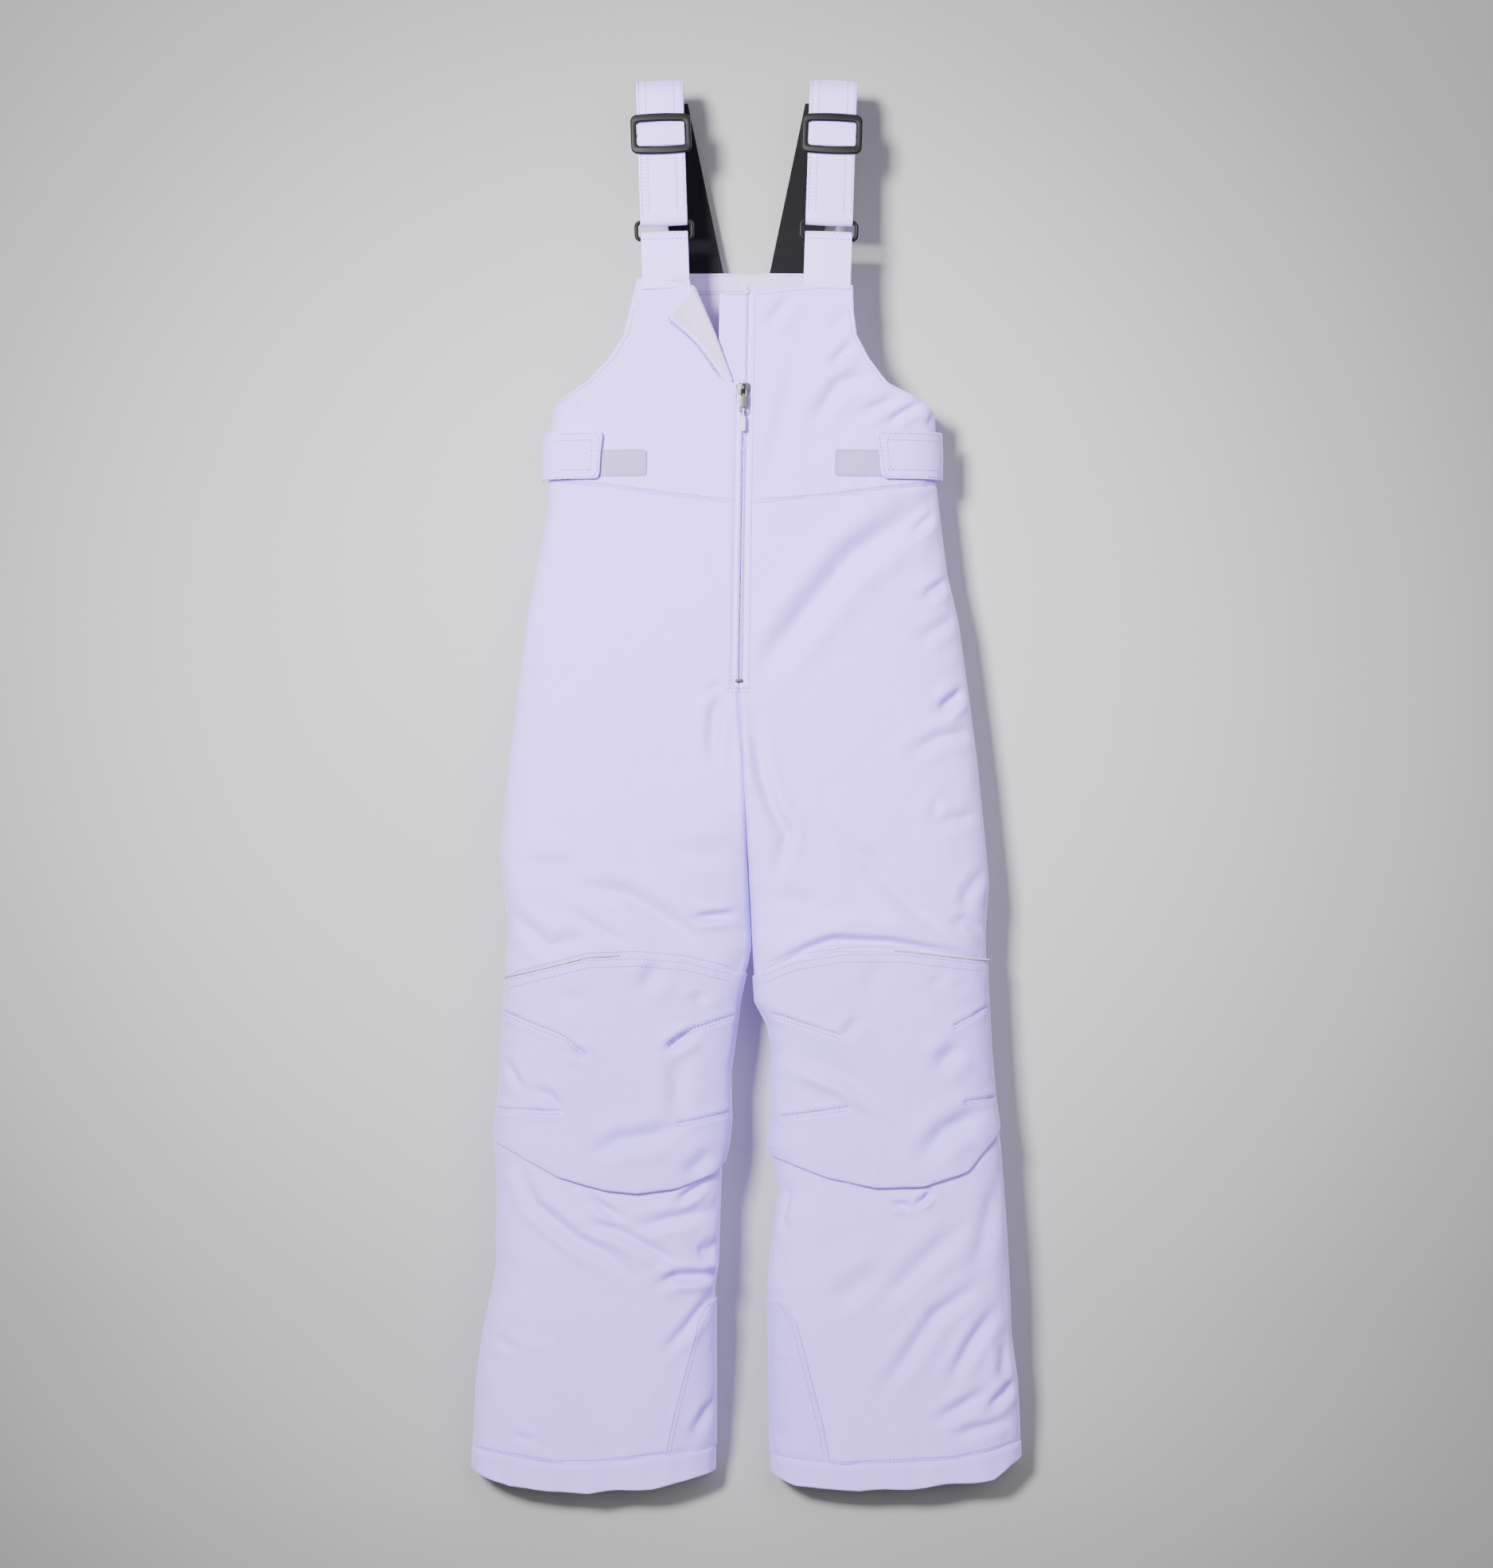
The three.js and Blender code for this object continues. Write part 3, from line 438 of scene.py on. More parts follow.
# --- creases and seams, back
CREASES_BACK = mirrored(
    folds(
        (2, 7, 26, -352, 34, -385, 60, -424), (1.6, 6, 58, -350, 62, -384),
        (1.8, 6, 88, -350, 84, -392, 70, -420), (1.4, 6, 118, -352, 112, -380),
        (2.4, 9, 152, -378, 118, -412, 84, -430), (3, 11, 176, -470, 132, -520, 78, -556, 22, -574),
        (2.6, 8, 10, -588, 46, -612, 96, -616, 140, -600), (2.8, 8, 14, -626, 58, -646, 112, -648),
        (1.8, 6, 192, -590, 150, -612, 118, -640), (2.4, 8, 20, -690, 74, -706, 130, -700, 180, -684),
        (3.4, 7, 16, -736, 66, -752, 128, -754, 192, -738), (3, 7, 26, -776, 84, -790, 150, -786, 194, -770),
        (2.2, 6, 36, -820, 92, -832, 140, -824), (2.6, 9, 196, -834, 160, -864, 112, -880),
        (2.2, 9, 48, -902, 106, -934, 168, -922), (2.6, 10, 198, -946, 150, -990, 96, -1010),
        (2, 7, 52, -980, 92, -1026, 130, -1044), (2.4, 8, 210, -1030, 168, -1064, 120, -1082),
        (1.5, 5, 44, -1072, 70, -1104), (1.4, 5, 180, -1096, 202, -1114),
        (1.6, 8, 92, -212, 60, -250, 30, -300), (1.3, 7, 128, -262, 88, -292), (1.2, 6, 140, -300, 110, -316),
    ),
    71,
)


def hem_paths(rows: Path2, side: Side) -> Path2:
    """World X-Z path from own-side rows of (distance, height)."""
    return tuple((side.value * x, z) for x, z in rows)


WAIST = {
    RIGHT: pairs(-12, -350, 8.5, -349.7, 70.2, -342.6, 115.7, -336, 161, -331.5, 170, -331.5),
    LEFT: pairs(-12, -350, 1.3, -349.7, 66.3, -344.5, 112, -338.2, 157.3, -332.8, 170, -332),
}
BACK_WAIST = pairs(-12, -344, 0, -344, 160, -338, 170, -338)
BIB_TOP = {
    RIGHT: pairs(44, -171, 47, -166.4, 52, -164.2, 82, -163.4, 90, -165.5),
    LEFT: pairs(0, -176, 30, -173, 60, -170, 82, -168.4, 88, -171.5),
}
BACK_TOP = pairs(-12, -155, 0, -155, 20, -154, 60, -154.3, 84, -156, 92, -160)
KNEE_TOP = {
    RIGHT: pairs(-10, -735, 8.5, -732.6, 50.7, -721.5, 89.7, -718.3, 128.7, -719.6, 193.7, -736.5, 202, -740),
    LEFT: pairs(-10, -740, 11, -734.5, 40.3, -721.5, 79.3, -715, 128, -715, 196.3, -723.5, 204, -725),
}
KNEE_LOW = {
    RIGHT: pairs(
        5, -884, 21.5, -890.5, 28, -897, 57.2, -908.7, 89.7, -912.6, 115.7, -910, 154.7, -899, 205.4, -871, 212,
        -867
    ),
    LEFT: pairs(
        15, -882, 30.5, -887, 66.3, -900, 105.3, -908, 144.3, -906.8, 180, -895, 202.8, -867.8, 210, -858
    ),
}
BACK_KNEE = pairs(-5, -804, 60, -809, 120, -809, 206, -801, 215, -800)
HEM_SEAM = {
    RIGHT: pairs(10, -1120, 24.7, -1121, 122, -1133, 154.7, -1133, 226, -1122.6, 232, -1121),
    LEFT: pairs(10, -1127, 20.8, -1127.8, 79.3, -1134.3, 170.3, -1129.7, 225.6, -1118, 232, -1117),
}
HEM_LOW = {
    RIGHT: pairs(
        10, -1141, 24.7, -1142.7, 76.7, -1153.8, 128.7, -1157, 193.7, -1152.5, 226, -1140.8, 232, -1138
    ),
    LEFT: pairs(
        10, -1141, 20.8, -1144, 40.3, -1152.5, 92.3, -1157, 170.3, -1150.5, 202.8, -1147.3, 226.9, -1131, 232,
        -1129
    ),
}
CENTRE_SEAM = ((-6.2, -504), (-3.9, -543), (-1, -600), (4.6, -712))


def inside(rows: Path2, dx: float) -> Path2:
    """Own-side (distance, height) rows beside an edge given as (height, distance)."""
    return tuple((x + dx, z) for z, x in rows)


def side_seams(side: Side, rows: Sequence[tuple]) -> list[Seam]:
    """Seams of one side.

    Args:
        side: the half of the garment.
        rows: for each, its own-side path, groove, width, pucker, pitch, reach and seed.

    Returns:
        The seams.
    """
    seed = side.value + 2
    return [Seam(hem_paths(path, side), *sizes, first + seed) for path, *sizes, first in rows]


def front_seams() -> tuple[Seam, ...]:
    """The sewn lines that pull at the fabric of the front."""
    seams = [Seam(CENTRE_SEAM, 2.0, 1.7, 1.3, 12, 15, 5)]
    for side, pucker in ((RIGHT, 0.55), (LEFT, 1.25)):
        seams += side_seams(side, (
            (WAIST[side][1:-1], 1.5, 1.9, pucker, 9.5, 12, 20),
            (KNEE_TOP[side][1:-1], 0.6, 3.0, 0.8, 11, 12, 30),
            (KNEE_LOW[side][1:-1], 0.2, 3.0, 0.7, 12, 12, 40),
            (HEM_SEAM[side][1:-1], 0.8, 2.6, 1.3, 15, 20, 50),
            (BIB_TOP[side][1:], 0.0, 3.0, 0.5, 12, 9, 60),
            (inside(OUTSEAM[side][:6], -3), 0.0, 3.0, 0.6, 12, 9, 70),
            (inside(OUTSEAM[side][6:], -4), 0.0, 3.0, 1.0, 17, 13, 80),
            (inside(INSEAM[side][3:], 5), 0.0, 3.0, 1.1, 15, 13, 90),
        ))
    return tuple(seams)


def back_seams() -> tuple[Seam, ...]:
    """The sewn lines that pull at the fabric of the back."""
    seams = [Seam(((-0.8, -165), (-6.2, -495), *CENTRE_SEAM[1:]), 2.0, 2.6, 0.9, 12, 15, 6)]
    for side in Side:
        seams += side_seams(side, (
            (BACK_WAIST[1:-1], 0.9, 3.0, 1.2, 8.5, 14, 120),
            (BACK_KNEE[1:-1], 1.0, 3.0, 1.0, 12, 15, 130),
            (HEM_SEAM[side][1:-1], 0.8, 2.6, 1.3, 15, 20, 150),
            (inside(OUTSEAM[side][6:], -4), 0.0, 3.0, 1.0, 17, 13, 180),
            (inside(INSEAM[side][3:], 5), 0.0, 3.0, 1.1, 15, 13, 190),
        ))
    return tuple(seams)


def knee_seams() -> tuple[Seam, ...]:
    """The sewn lines and darts of the knee patches."""
    seams = [Seam(path, 1.9, 1.5, 0.9, 9, 9, 200 + i) for i, path in enumerate(DARTS)]
    for side in Side:
        seams += side_seams(side, (
            (KNEE_TOP[side][1:-1], 0.5, 3.0, 0.8, 10, 10, 230),
            (KNEE_LOW[side][1:-1], 0.2, 3.0, 0.9, 13, 10, 240),
            (inside(OUTSEAM[side][16:24], -4), 0.0, 3.0, 1.0, 15, 13, 250),
        ))
    return tuple(seams)


@dataclass(frozen=True)
class Skin:
    """The garment's surface: its plain form with the relief of its fabric."""

    form: Form
    front: Relief
    back: Relief
    knee: Relief

    def at(
        self, side: Side, face: Face, own: Array, z: Array, proud: Array = 0.0, relief: Optional[Relief] = None,
        calm: float = 1.0,
    ) -> tuple[Array, Array]:
        """Points of the surface and their outward directions.

        Args:
            side: the half of the garment.
            face: front or back.
            own: distance from the middle, towards that side.
            z: height.
            proud: height above the surface.
            relief: the fabric's relief, if not that of the face.
            calm: how much of the relief is followed.

        Returns:
            Points and unit directions, each with a last axis of 3.
        """
        own, z = np.broadcast_arrays(np.asarray(own, float), np.asarray(z, float))
        f = self.form
        outer_t = f.outer(side, np.minimum(z, -274.0))
        outer, inner = f.outer(side, z), f.inner(side, z)
        half, mid = (outer - inner) / 2, (outer + inner) / 2
        st, sl = np.clip(own / outer_t, -1, 1), np.clip((own - mid) / half, -1, 1)
        k, depth = f.division(z), f.depth(face, z)
        ot, ol = f.oval(st), f.oval(sl)
        y = face.value * depth * (ot * (1 - k) + ol * k)
        nx = side.value * ((1 - k) * st * np.abs(st) / outer_t + k * sl * np.abs(sl) / half)
        ny = face.value * ((1 - k) * ot**2 + k * ol**2) / depth
        normal = unit(np.stack([nx, ny, np.zeros_like(nx)], -1))
        x = side.value * own
        fade = smooth((1 - np.abs(st)) / 0.05) * (1 - k) + smooth((1 - np.abs(sl)) / 0.07) * k
        if face is FRONT:
            near_zip = smooth((np.abs(x - f.zip_x(z)) - 5) / 24) * 0.8 + 0.2
            fade = fade * np.where(z > -486, near_zip, near_zip + (1 - near_zip) * smooth((-486 - z) / 25))
        chosen = relief or (self.front if face is FRONT else self.back)
        rise = chosen.height(x, z) * fade * calm + proud
        return np.stack([x, y, z], -1) + normal * rise[..., None], normal


SKIN = Skin(
    FORM,
    Relief(CREASES_FRONT, front_seams()),
    Relief(CREASES_BACK, back_seams(), seed=31),
    Relief(CREASES_KNEE, knee_seams(), 0.9, 0.4, 51),
)


# --- meshes
def grid_faces(rows: int, cols: int) -> Array:
    """Quads of a grid whose points are numbered row by row."""
    i, j = np.meshgrid(np.arange(rows - 1), np.arange(cols - 1), indexing="ij")
    a = (i * cols + j).ravel()
    return np.stack([a, a + 1, a + cols + 1, a + cols], -1)


def mesh_object(
    name: str, points: Array, faces: Array, uv: Optional[Array] = None, finishes: Sequence = (),
    slots: Optional[Array] = None,
) -> Piece:
    """Makes an object from points in millimetres.

    Args:
        name: object name.
        points: N by 3.
        faces: M by 3 or 4 point numbers, or a list of them.
        uv: N by 2, in metres.
        finishes: materials in slot order.
        slots: material slot of each face.

    Returns:
        The object, linked to the scene.
    """
    mesh = bpy.data.meshes.new(name)
    mesh.from_pydata((np.asarray(points, float) * MM).tolist(), [], [list(map(int, f)) for f in faces])
    if uv is not None:
        layer = mesh.uv_layers.new(name="UVMap")
        index = np.empty(len(mesh.loops), int)
        mesh.loops.foreach_get("vertex_index", index)
        layer.data.foreach_set("uv", np.asarray(uv, float)[index].ravel())
    for finish in finishes:
        mesh.materials.append(finish)
    if slots is not None:
        mesh.polygons.foreach_set("material_index", np.asarray(slots, int))
    mesh.shade_smooth()
    mesh.update()
    return linked(name, mesh)


def linked(name: str, data: bpy.types.ID) -> Piece:
    """A new object that holds some data, in the scene."""
    obj = bpy.data.objects.new(name, data)
    bpy.context.scene.collection.objects.link(obj)
    return obj


def plain(obj: Piece, name: str, place: Optional[Array] = None) -> Piece:
    """Turns an object and its modifiers into one plain mesh in place, and removes the original."""
    graph = bpy.context.evaluated_depsgraph_get()
    mesh = bpy.data.meshes.new_from_object(obj.evaluated_get(graph))
    mesh.name = name
    if place is not None:
        mesh.transform(Matrix(place.tolist()))
    bpy.data.objects.remove(obj)
    return linked(name, mesh)


def run(points: Array, axis: int) -> Array:
    """Length run along one axis of a grid of points."""
    step = np.linalg.norm(np.diff(points, axis=axis), axis=-1)
    zero = np.zeros_like(np.take(step, [0], axis=axis))
    return np.cumsum(np.concatenate([zero, step], axis=axis), axis=axis)


def slab(
    name: str, outer: Array, normal: Array, thick: float, finishes: Sequence, edge: float = 0.0,
    origin: tuple[float, float] = (0.0, 0.0),
) -> Piece:
    """A closed sheet with rounded rims, from a grid of its outer surface.

    Args:
        name: object name.
        outer: rows by columns by 3.
        normal: outward directions, the same shape or one for all.
        thick: thickness.
        finishes: materials of the outer side and, if different, of the inner side.
        edge: radius of the rim; half the thickness if 0.
        origin: UV of the first point, in metres.

    Returns:
        The object.
    """
    rows, cols = outer.shape[:2]
    normal = np.broadcast_to(normal, outer.shape)
    down, across = run(outer, 0), run(outer, 1)
    gap = np.minimum(np.minimum(down, down[-1:] - down), np.minimum(across, across[:, -1:] - across))
    radius = edge or thick / 2
    taper = np.sqrt(np.clip(1 - (1 - np.clip(gap / radius, 0, 1)) ** 2, 0, 1)) * 0.9 + 0.1
    top = outer - normal * (thick / 2 * (1 - taper))[..., None]
    low = outer - normal * (thick / 2 * (1 + taper))[..., None]
    count = rows * cols
    quads = grid_faces(rows, cols)
    i, j = rows // 2, cols // 2
    turn = np.cross(outer[i, j] - outer[i, j - 1], outer[i, j] - outer[i - 1, j])
    flip = float(np.dot(turn, normal[i, j])) < 0
    ring = np.concatenate([
        np.arange(cols - 1), np.arange(rows - 1) * cols + cols - 1,
        count - 1 - np.arange(cols - 1), (rows - 1 - np.arange(rows - 1)) * cols,
    ])
    after = np.roll(ring, -1)
    rim = np.stack([after, ring, ring + count, after + count], -1)
    faces = np.concatenate([quads, quads[:, ::-1] + count, rim])
    if flip:
        faces = faces[:, ::-1]
    uv = np.stack([across * MM + origin[0], origin[1] - down * MM], -1).reshape(-1, 2)
    slots = np.zeros(len(faces), int)
    if len(finishes) > 1:
        slots[len(quads):2 * len(quads)] = 1
    points = np.concatenate([top.reshape(-1, 3), low.reshape(-1, 3)])
    return mesh_object(name, points, faces, np.concatenate([uv, uv]), finishes, slots)


def joined(name: str, parts: Sequence[Piece]) -> Piece:
    """Joins objects that sit at the origin into one."""
    if len(parts) > 1:
        with bpy.context.temp_override(active_object=parts[0], selected_editable_objects=list(parts)):
            bpy.ops.object.join()
    parts[0].name = name
    parts[0].data.name = name
    return parts[0]


def shares(count: int, length: float, rim: float = 2.0) -> Array:
    """Even shares from 0 to 1, with extra ones that round the rims."""
    near = np.array([0.0, 0.12, 0.35, 0.7, 1.0]) * rim / length
    middle = np.linspace(near[-1], 1 - near[-1], max(count, 2))
    return np.concatenate([near[:-1], middle, 1 - near[:-1][::-1]])


def traced(name: str, dimensions: str, lines: Sequence[Array], closed: bool, radius: float, sides: int,
    finish: Material) -> bpy.types.Curve:
    """A curve along lines in millimetres, rounded to a radius."""
    curve = bpy.data.curves.new(name, "CURVE")
    curve.dimensions = dimensions
    for line in lines:
        spline = curve.splines.new("POLY")
        spline.points.add(len(line) - 1)
        spline.points.foreach_set("co", np.c_[line * MM, np.ones(len(line))].ravel())
        spline.use_cyclic_u = closed
    curve.bevel_depth = radius * MM
    curve.bevel_resolution = sides
    curve.materials.append(finish)
    return curve


def tube(name: str, points: Array, radius: float, finish: Material, closed: bool = False,
    sides: int = 3) -> Piece:
    """A round bar along a smooth path in millimetres."""
    curve = traced(name, "3D", [np.asarray(points)], closed, radius, sides, finish)
    curve.use_fill_caps = not closed
    made = plain(linked(name, curve), name)
    made.data.shade_smooth()
    return made


def rounded(width: float, height: float, radius: float, bow: float = 0.0, steps: int = 7) -> Array:
    """Outline of a rectangle with rounded corners, bowed out at top and bottom."""
    turn = np.linspace(0, np.pi / 2, steps)
    corner = np.stack([np.cos(turn), np.sin(turn)], -1) * radius
    quarter = corner + [width / 2 - radius, height / 2 - radius]
    top = np.concatenate([quarter, (quarter * [-1, 1])[::-1]])
    fine = np.concatenate([np.linspace(a, b, 9)[:-1] if np.hypot(*(b - a)) > 8 else [a] for a, b in
            zip(top[:-1], top[1:])] + [top[-1:]])
    fine[:, 1] += bow * (1 - (2 * fine[:, 0] / width) ** 2)
    return np.concatenate([fine, fine * [-1, -1]])


def stamped(
    name: str, outlines: Sequence[Array], thick: float, bevel: float, finish: Material,
    place: Array,
) -> Piece:
    """A flat piece with holes and rounded edges, standing in the X-Z plane.

    Args:
        name: object name.
        outlines: the rim and the holes, in millimetres.
        thick: thickness.
        bevel: radius of its edges.
        finish: material.
        place: matrix that puts it in the row frame, in millimetres.

    Returns:
        The object.
    """
    flat = [np.c_[outline, np.zeros(len(outline))] for outline in outlines]
    curve = traced(name, "2D", flat, True, bevel, 3, finish)
    curve.fill_mode = "BOTH"
    curve.extrude = (thick / 2 - bevel) * MM
    curve.offset = -bevel * MM
    upright = np.array([[1, 0, 0, 0], [0, 0, -1, 0], [0, 1, 0, 0], [0, 0, 0, 1.0]])
    made = plain(linked(name, curve), name, upright)
    mesh = made.data
    points = np.empty(len(mesh.vertices) * 3)
    mesh.vertices.foreach_get("co", points)
    mesh.vertices.foreach_set("co", (carried(points.reshape(-1, 3) / MM, place) * MM).ravel())
    work = bmesh.new()
    work.from_mesh(mesh)
    bmesh.ops.remove_doubles(work, verts=work.verts, dist=2e-6)
    bmesh.ops.recalc_face_normals(work, faces=work.faces)
    work.to_mesh(mesh)
    work.free()
    mesh.shade_smooth()
    mesh.set_sharp_from_angle(angle=math.radians(40))
    return made


# --- rows of small pieces
def feed(tree: bpy.types.NodeTree, node: bpy.types.Node, links: dict) -> None:
    """Gives inputs of a node a value, a link, or a node whose first output it is."""
    for socket, value in links.items():
        if isinstance(value, bpy.types.Node):
            value = value.outputs[0]
        if isinstance(value, bpy.types.NodeSocket):
            tree.links.new(value, node.inputs[socket])
        else:
            node.inputs[socket].default_value = value


def put(tree: bpy.types.NodeTree, kind: str, links: Optional[dict] = None, **settings: object) -> bpy.types.Node:
    """Adds a node with its settings, and feeds its named or numbered inputs."""
    node = tree.nodes.new(kind)
    for key, value in settings.items():
        setattr(node, key, value)
    feed(tree, node, links or {})
    return node


class RowMaker:
    """Geometry Nodes that set small rounded pieces in a row along paths on a surface, such as stitches."""

    INPUTS = {
        "Pitch": "NodeSocketFloat", "Length": "NodeSocketFloat", "Width": "NodeSocketFloat",
        "Height": "NodeSocketFloat", "Turn": "NodeSocketFloat", "Finish": "NodeSocketMaterial",
    }

    def __init__(self) -> None:
        """Builds the tree once."""
        tree = bpy.data.node_groups.new("row_of_pieces", "GeometryNodeTree")
        face = tree.interface
        face.new_socket("Geometry", in_out="INPUT", socket_type="NodeSocketGeometry")
        for label, kind in self.INPUTS.items():
            face.new_socket(label, in_out="INPUT", socket_type=kind)
        face.new_socket("Geometry", in_out="OUTPUT", socket_type="NodeSocketGeometry")
        given = put(tree, "NodeGroupInput").outputs
        curve = put(tree, "GeometryNodeMeshToCurve", {"Mesh": given["Geometry"]})
        even = put(tree, "GeometryNodeResampleCurve", {"Curve": curve, "Length": given["Pitch"]}, mode="LENGTH")
        tangent = put(tree, "GeometryNodeInputTangent")
        lift = put(tree, "GeometryNodeInputNamedAttribute", {"Name": "lift"}, data_type="FLOAT_VECTOR")
        along = put(tree, "FunctionNodeAlignRotationToVector", {"Vector": tangent}, axis="X")
        stood = put(tree, "FunctionNodeAlignRotationToVector",
            {"Rotation": along, "Vector": lift}, axis="Z", pivot_axis="X")
        spin = put(tree, "FunctionNodeAxisAngleToRotation", {"Axis": (0, 0, 1), "Angle": given["Turn"]})
        turned = put(tree, "FunctionNodeRotateRotation",
            {"Rotation": stood, "Rotate By": spin}, rotation_space="LOCAL")
        bead = put(tree, "GeometryNodeMeshUVSphere", {"Segments": 6, "Rings": 5, "Radius": 0.5})
        size = put(tree, "ShaderNodeCombineXYZ",
            {"X": given["Length"], "Y": given["Width"], "Z": given["Height"]})
        piece = put(tree, "GeometryNodeTransform", {"Geometry": bead, "Scale": size})
        soft = put(tree, "GeometryNodeSetShadeSmooth", {"Geometry": piece})
        row = put(tree, "GeometryNodeInstanceOnPoints", {"Points": even, "Instance": soft, "Rotation": turned})
        real = put(tree, "GeometryNodeRealizeInstances", {"Geometry": row})
        dressed = put(tree, "GeometryNodeSetMaterial", {"Geometry": real, "Material": given["Finish"]})
        put(tree, "NodeGroupOutput", {0: dressed})
        self.tree = tree

    def make(
        self, name: str, rows: Lines, pitch: float, size: tuple[float, float, float],
        finish: Material, turn: float = 0.0,
    ) -> Piece:
        """Sets pieces along paths.

        Args:
            name: object name.
            rows: for each path, its points in millimetres and the surface's directions there.
            pitch: spacing of the pieces.
            size: length, width and height of a piece.
            finish: material.
            turn: angle of each piece to its path, in degrees.

        Returns:
            One plain mesh object.
        """
        points, lifts, edges, start = [], [], [], 0
        for path, lift in rows:
            points.append(path)
            lifts.append(np.broadcast_to(lift, path.shape))
            edges += [(start + i, start + i + 1) for i in range(len(path) - 1)]
            start += len(path)
        mesh = bpy.data.meshes.new(name)
        mesh.from_pydata((np.concatenate(points) * MM).tolist(), edges, [])
        mesh.attributes.new("lift", "FLOAT_VECTOR", "POINT").data.foreach_set(
            "vector", np.concatenate(lifts).ravel()
        )
        obj = linked(name, mesh)
        modifier = obj.modifiers.new("Row", "NODES")
        modifier.node_group = self.tree
        values = dict(zip(("Pitch", "Length", "Width", "Height"), (v * MM for v in (pitch, *size))))
        values |= {"Turn": math.radians(turn), "Finish": finish}
        for item in self.tree.interface.items_tree:
            if item.in_out == "INPUT" and item.name in values:
                modifier[item.identifier] = values[item.name]
        return plain(obj, name)


# --- finishes
def colour(code: str) -> tuple[float, float, float, float]:
    """Linear colour of an sRGB hex code."""
    parts = [int(code[i:i + 2], 16) / 255 for i in (1, 3, 5)]
    return (*(c / 12.92 if c <= 0.04045 else ((c + 0.055) / 1.055) ** 2.4 for c in parts), 1.0)


def bands(period: float) -> float:
    """Scale of a Wave texture whose bands repeat at a period in millimetres."""
    return 0.31416 / (period * MM)


def grains(size: float) -> float:
    """Scale of a Noise texture whose grains are about a size in millimetres."""
    return 1.0 / (size * MM)


def bare(name: str) -> tuple[Material, bpy.types.NodeTree, bpy.types.Node]:
    """A new node material, its tree and its shader."""
    mat = bpy.data.materials.new(name)
    mat.use_nodes = True
    return mat, mat.node_tree, mat.node_tree.nodes["Principled BSDF"]


@dataclass(frozen=True)
class Cloth:
    """Dyed fabric: two close tones, a thread pattern and a soft nap.

    Args:
        name: maker's name of the cloth.
        tone: its usual colour.
        shade: its deeper tone.
        thread: spacing of its threads in millimetres, drawn coarse enough to show.
        angle: turn of the thread pattern, in degrees.
        relief: depth of the thread pattern in millimetres.
        rough: roughness.
        sheen: strength of the nap's sheen.
        crumple: depth of the fine crumple in millimetres.
        warp_only: whether only one set of ribs shows.
    """

    name: str
    tone: str
    shade: str
    thread: float = 1.1
    angle: float = 0.0
    relief: float = 0.05
    rough: float = 0.72
    sheen: float = 0.25
    crumple: float = 0.18
    warp_only: bool = False

    def material(self) -> Material:
        """Builds the node material."""
        mat, tree, skin = bare(self.name)
        where = put(tree, "ShaderNodeTexCoord").outputs["UV"]
        turned = put(tree, "ShaderNodeMapping", {"Vector": where, "Rotation": (0, 0, math.radians(self.angle))})
        yarn = {"Vector": turned, "Distortion": 0.6, "Detail": 1.0, "Detail Scale": 2.0}
        warp = put(tree, "ShaderNodeTexWave", yarn | {"Scale": bands(self.thread)}, bands_direction="X")
        pattern = warp.outputs["Fac"]
        if not self.warp_only:
            weft = put(tree, "ShaderNodeTexWave", yarn | {"Scale": bands(self.thread * 1.15)},
                bands_direction="Y")
            pattern = put(tree, "ShaderNodeMath", {0: pattern, 1: weft.outputs["Fac"]},
                operation="MULTIPLY").outputs[0]
        body = put(tree, "ShaderNodeTexCoord").outputs["Object"]
        blotch = put(tree, "ShaderNodeTexNoise", {"Vector": body, "Scale": grains(60), "Detail": 3.0})
        fleck = put(tree, "ShaderNodeTexNoise", {"Vector": body, "Scale": grains(2.2), "Detail": 3.0})
        amount = put(tree, "ShaderNodeMath", {0: blotch.outputs["Fac"], 1: fleck.outputs["Fac"]},
            operation="MULTIPLY")
        threads = put(tree, "ShaderNodeMath", {0: pattern, 1: 0.16, 2: amount}, operation="MULTIPLY_ADD")
        mix = put(tree, "ShaderNodeMix", {"Factor": threads, 6: colour(self.tone),
                7: colour(self.shade)}, data_type="RGBA")
        fine = put(tree, "ShaderNodeTexNoise", {"Vector": body, "Scale": grains(7), "Detail": 5.0,
                "Roughness": 0.62})
        folds = put(tree, "ShaderNodeBump", {"Height": fine.outputs["Fac"], "Distance": self.crumple * MM,
                "Strength": 1.0})
        weave = put(tree, "ShaderNodeBump", {"Height": pattern, "Distance": self.relief * MM,
                "Normal": folds, "Strength": 1.0})
        feed(tree, skin, {"Base Color": mix.outputs[2], "Normal": weave, "Roughness": self.rough, "IOR": 1.48,
            "Sheen Weight": self.sheen, "Sheen Roughness": 0.45, "Specular IOR Level": 0.28})
        return mat


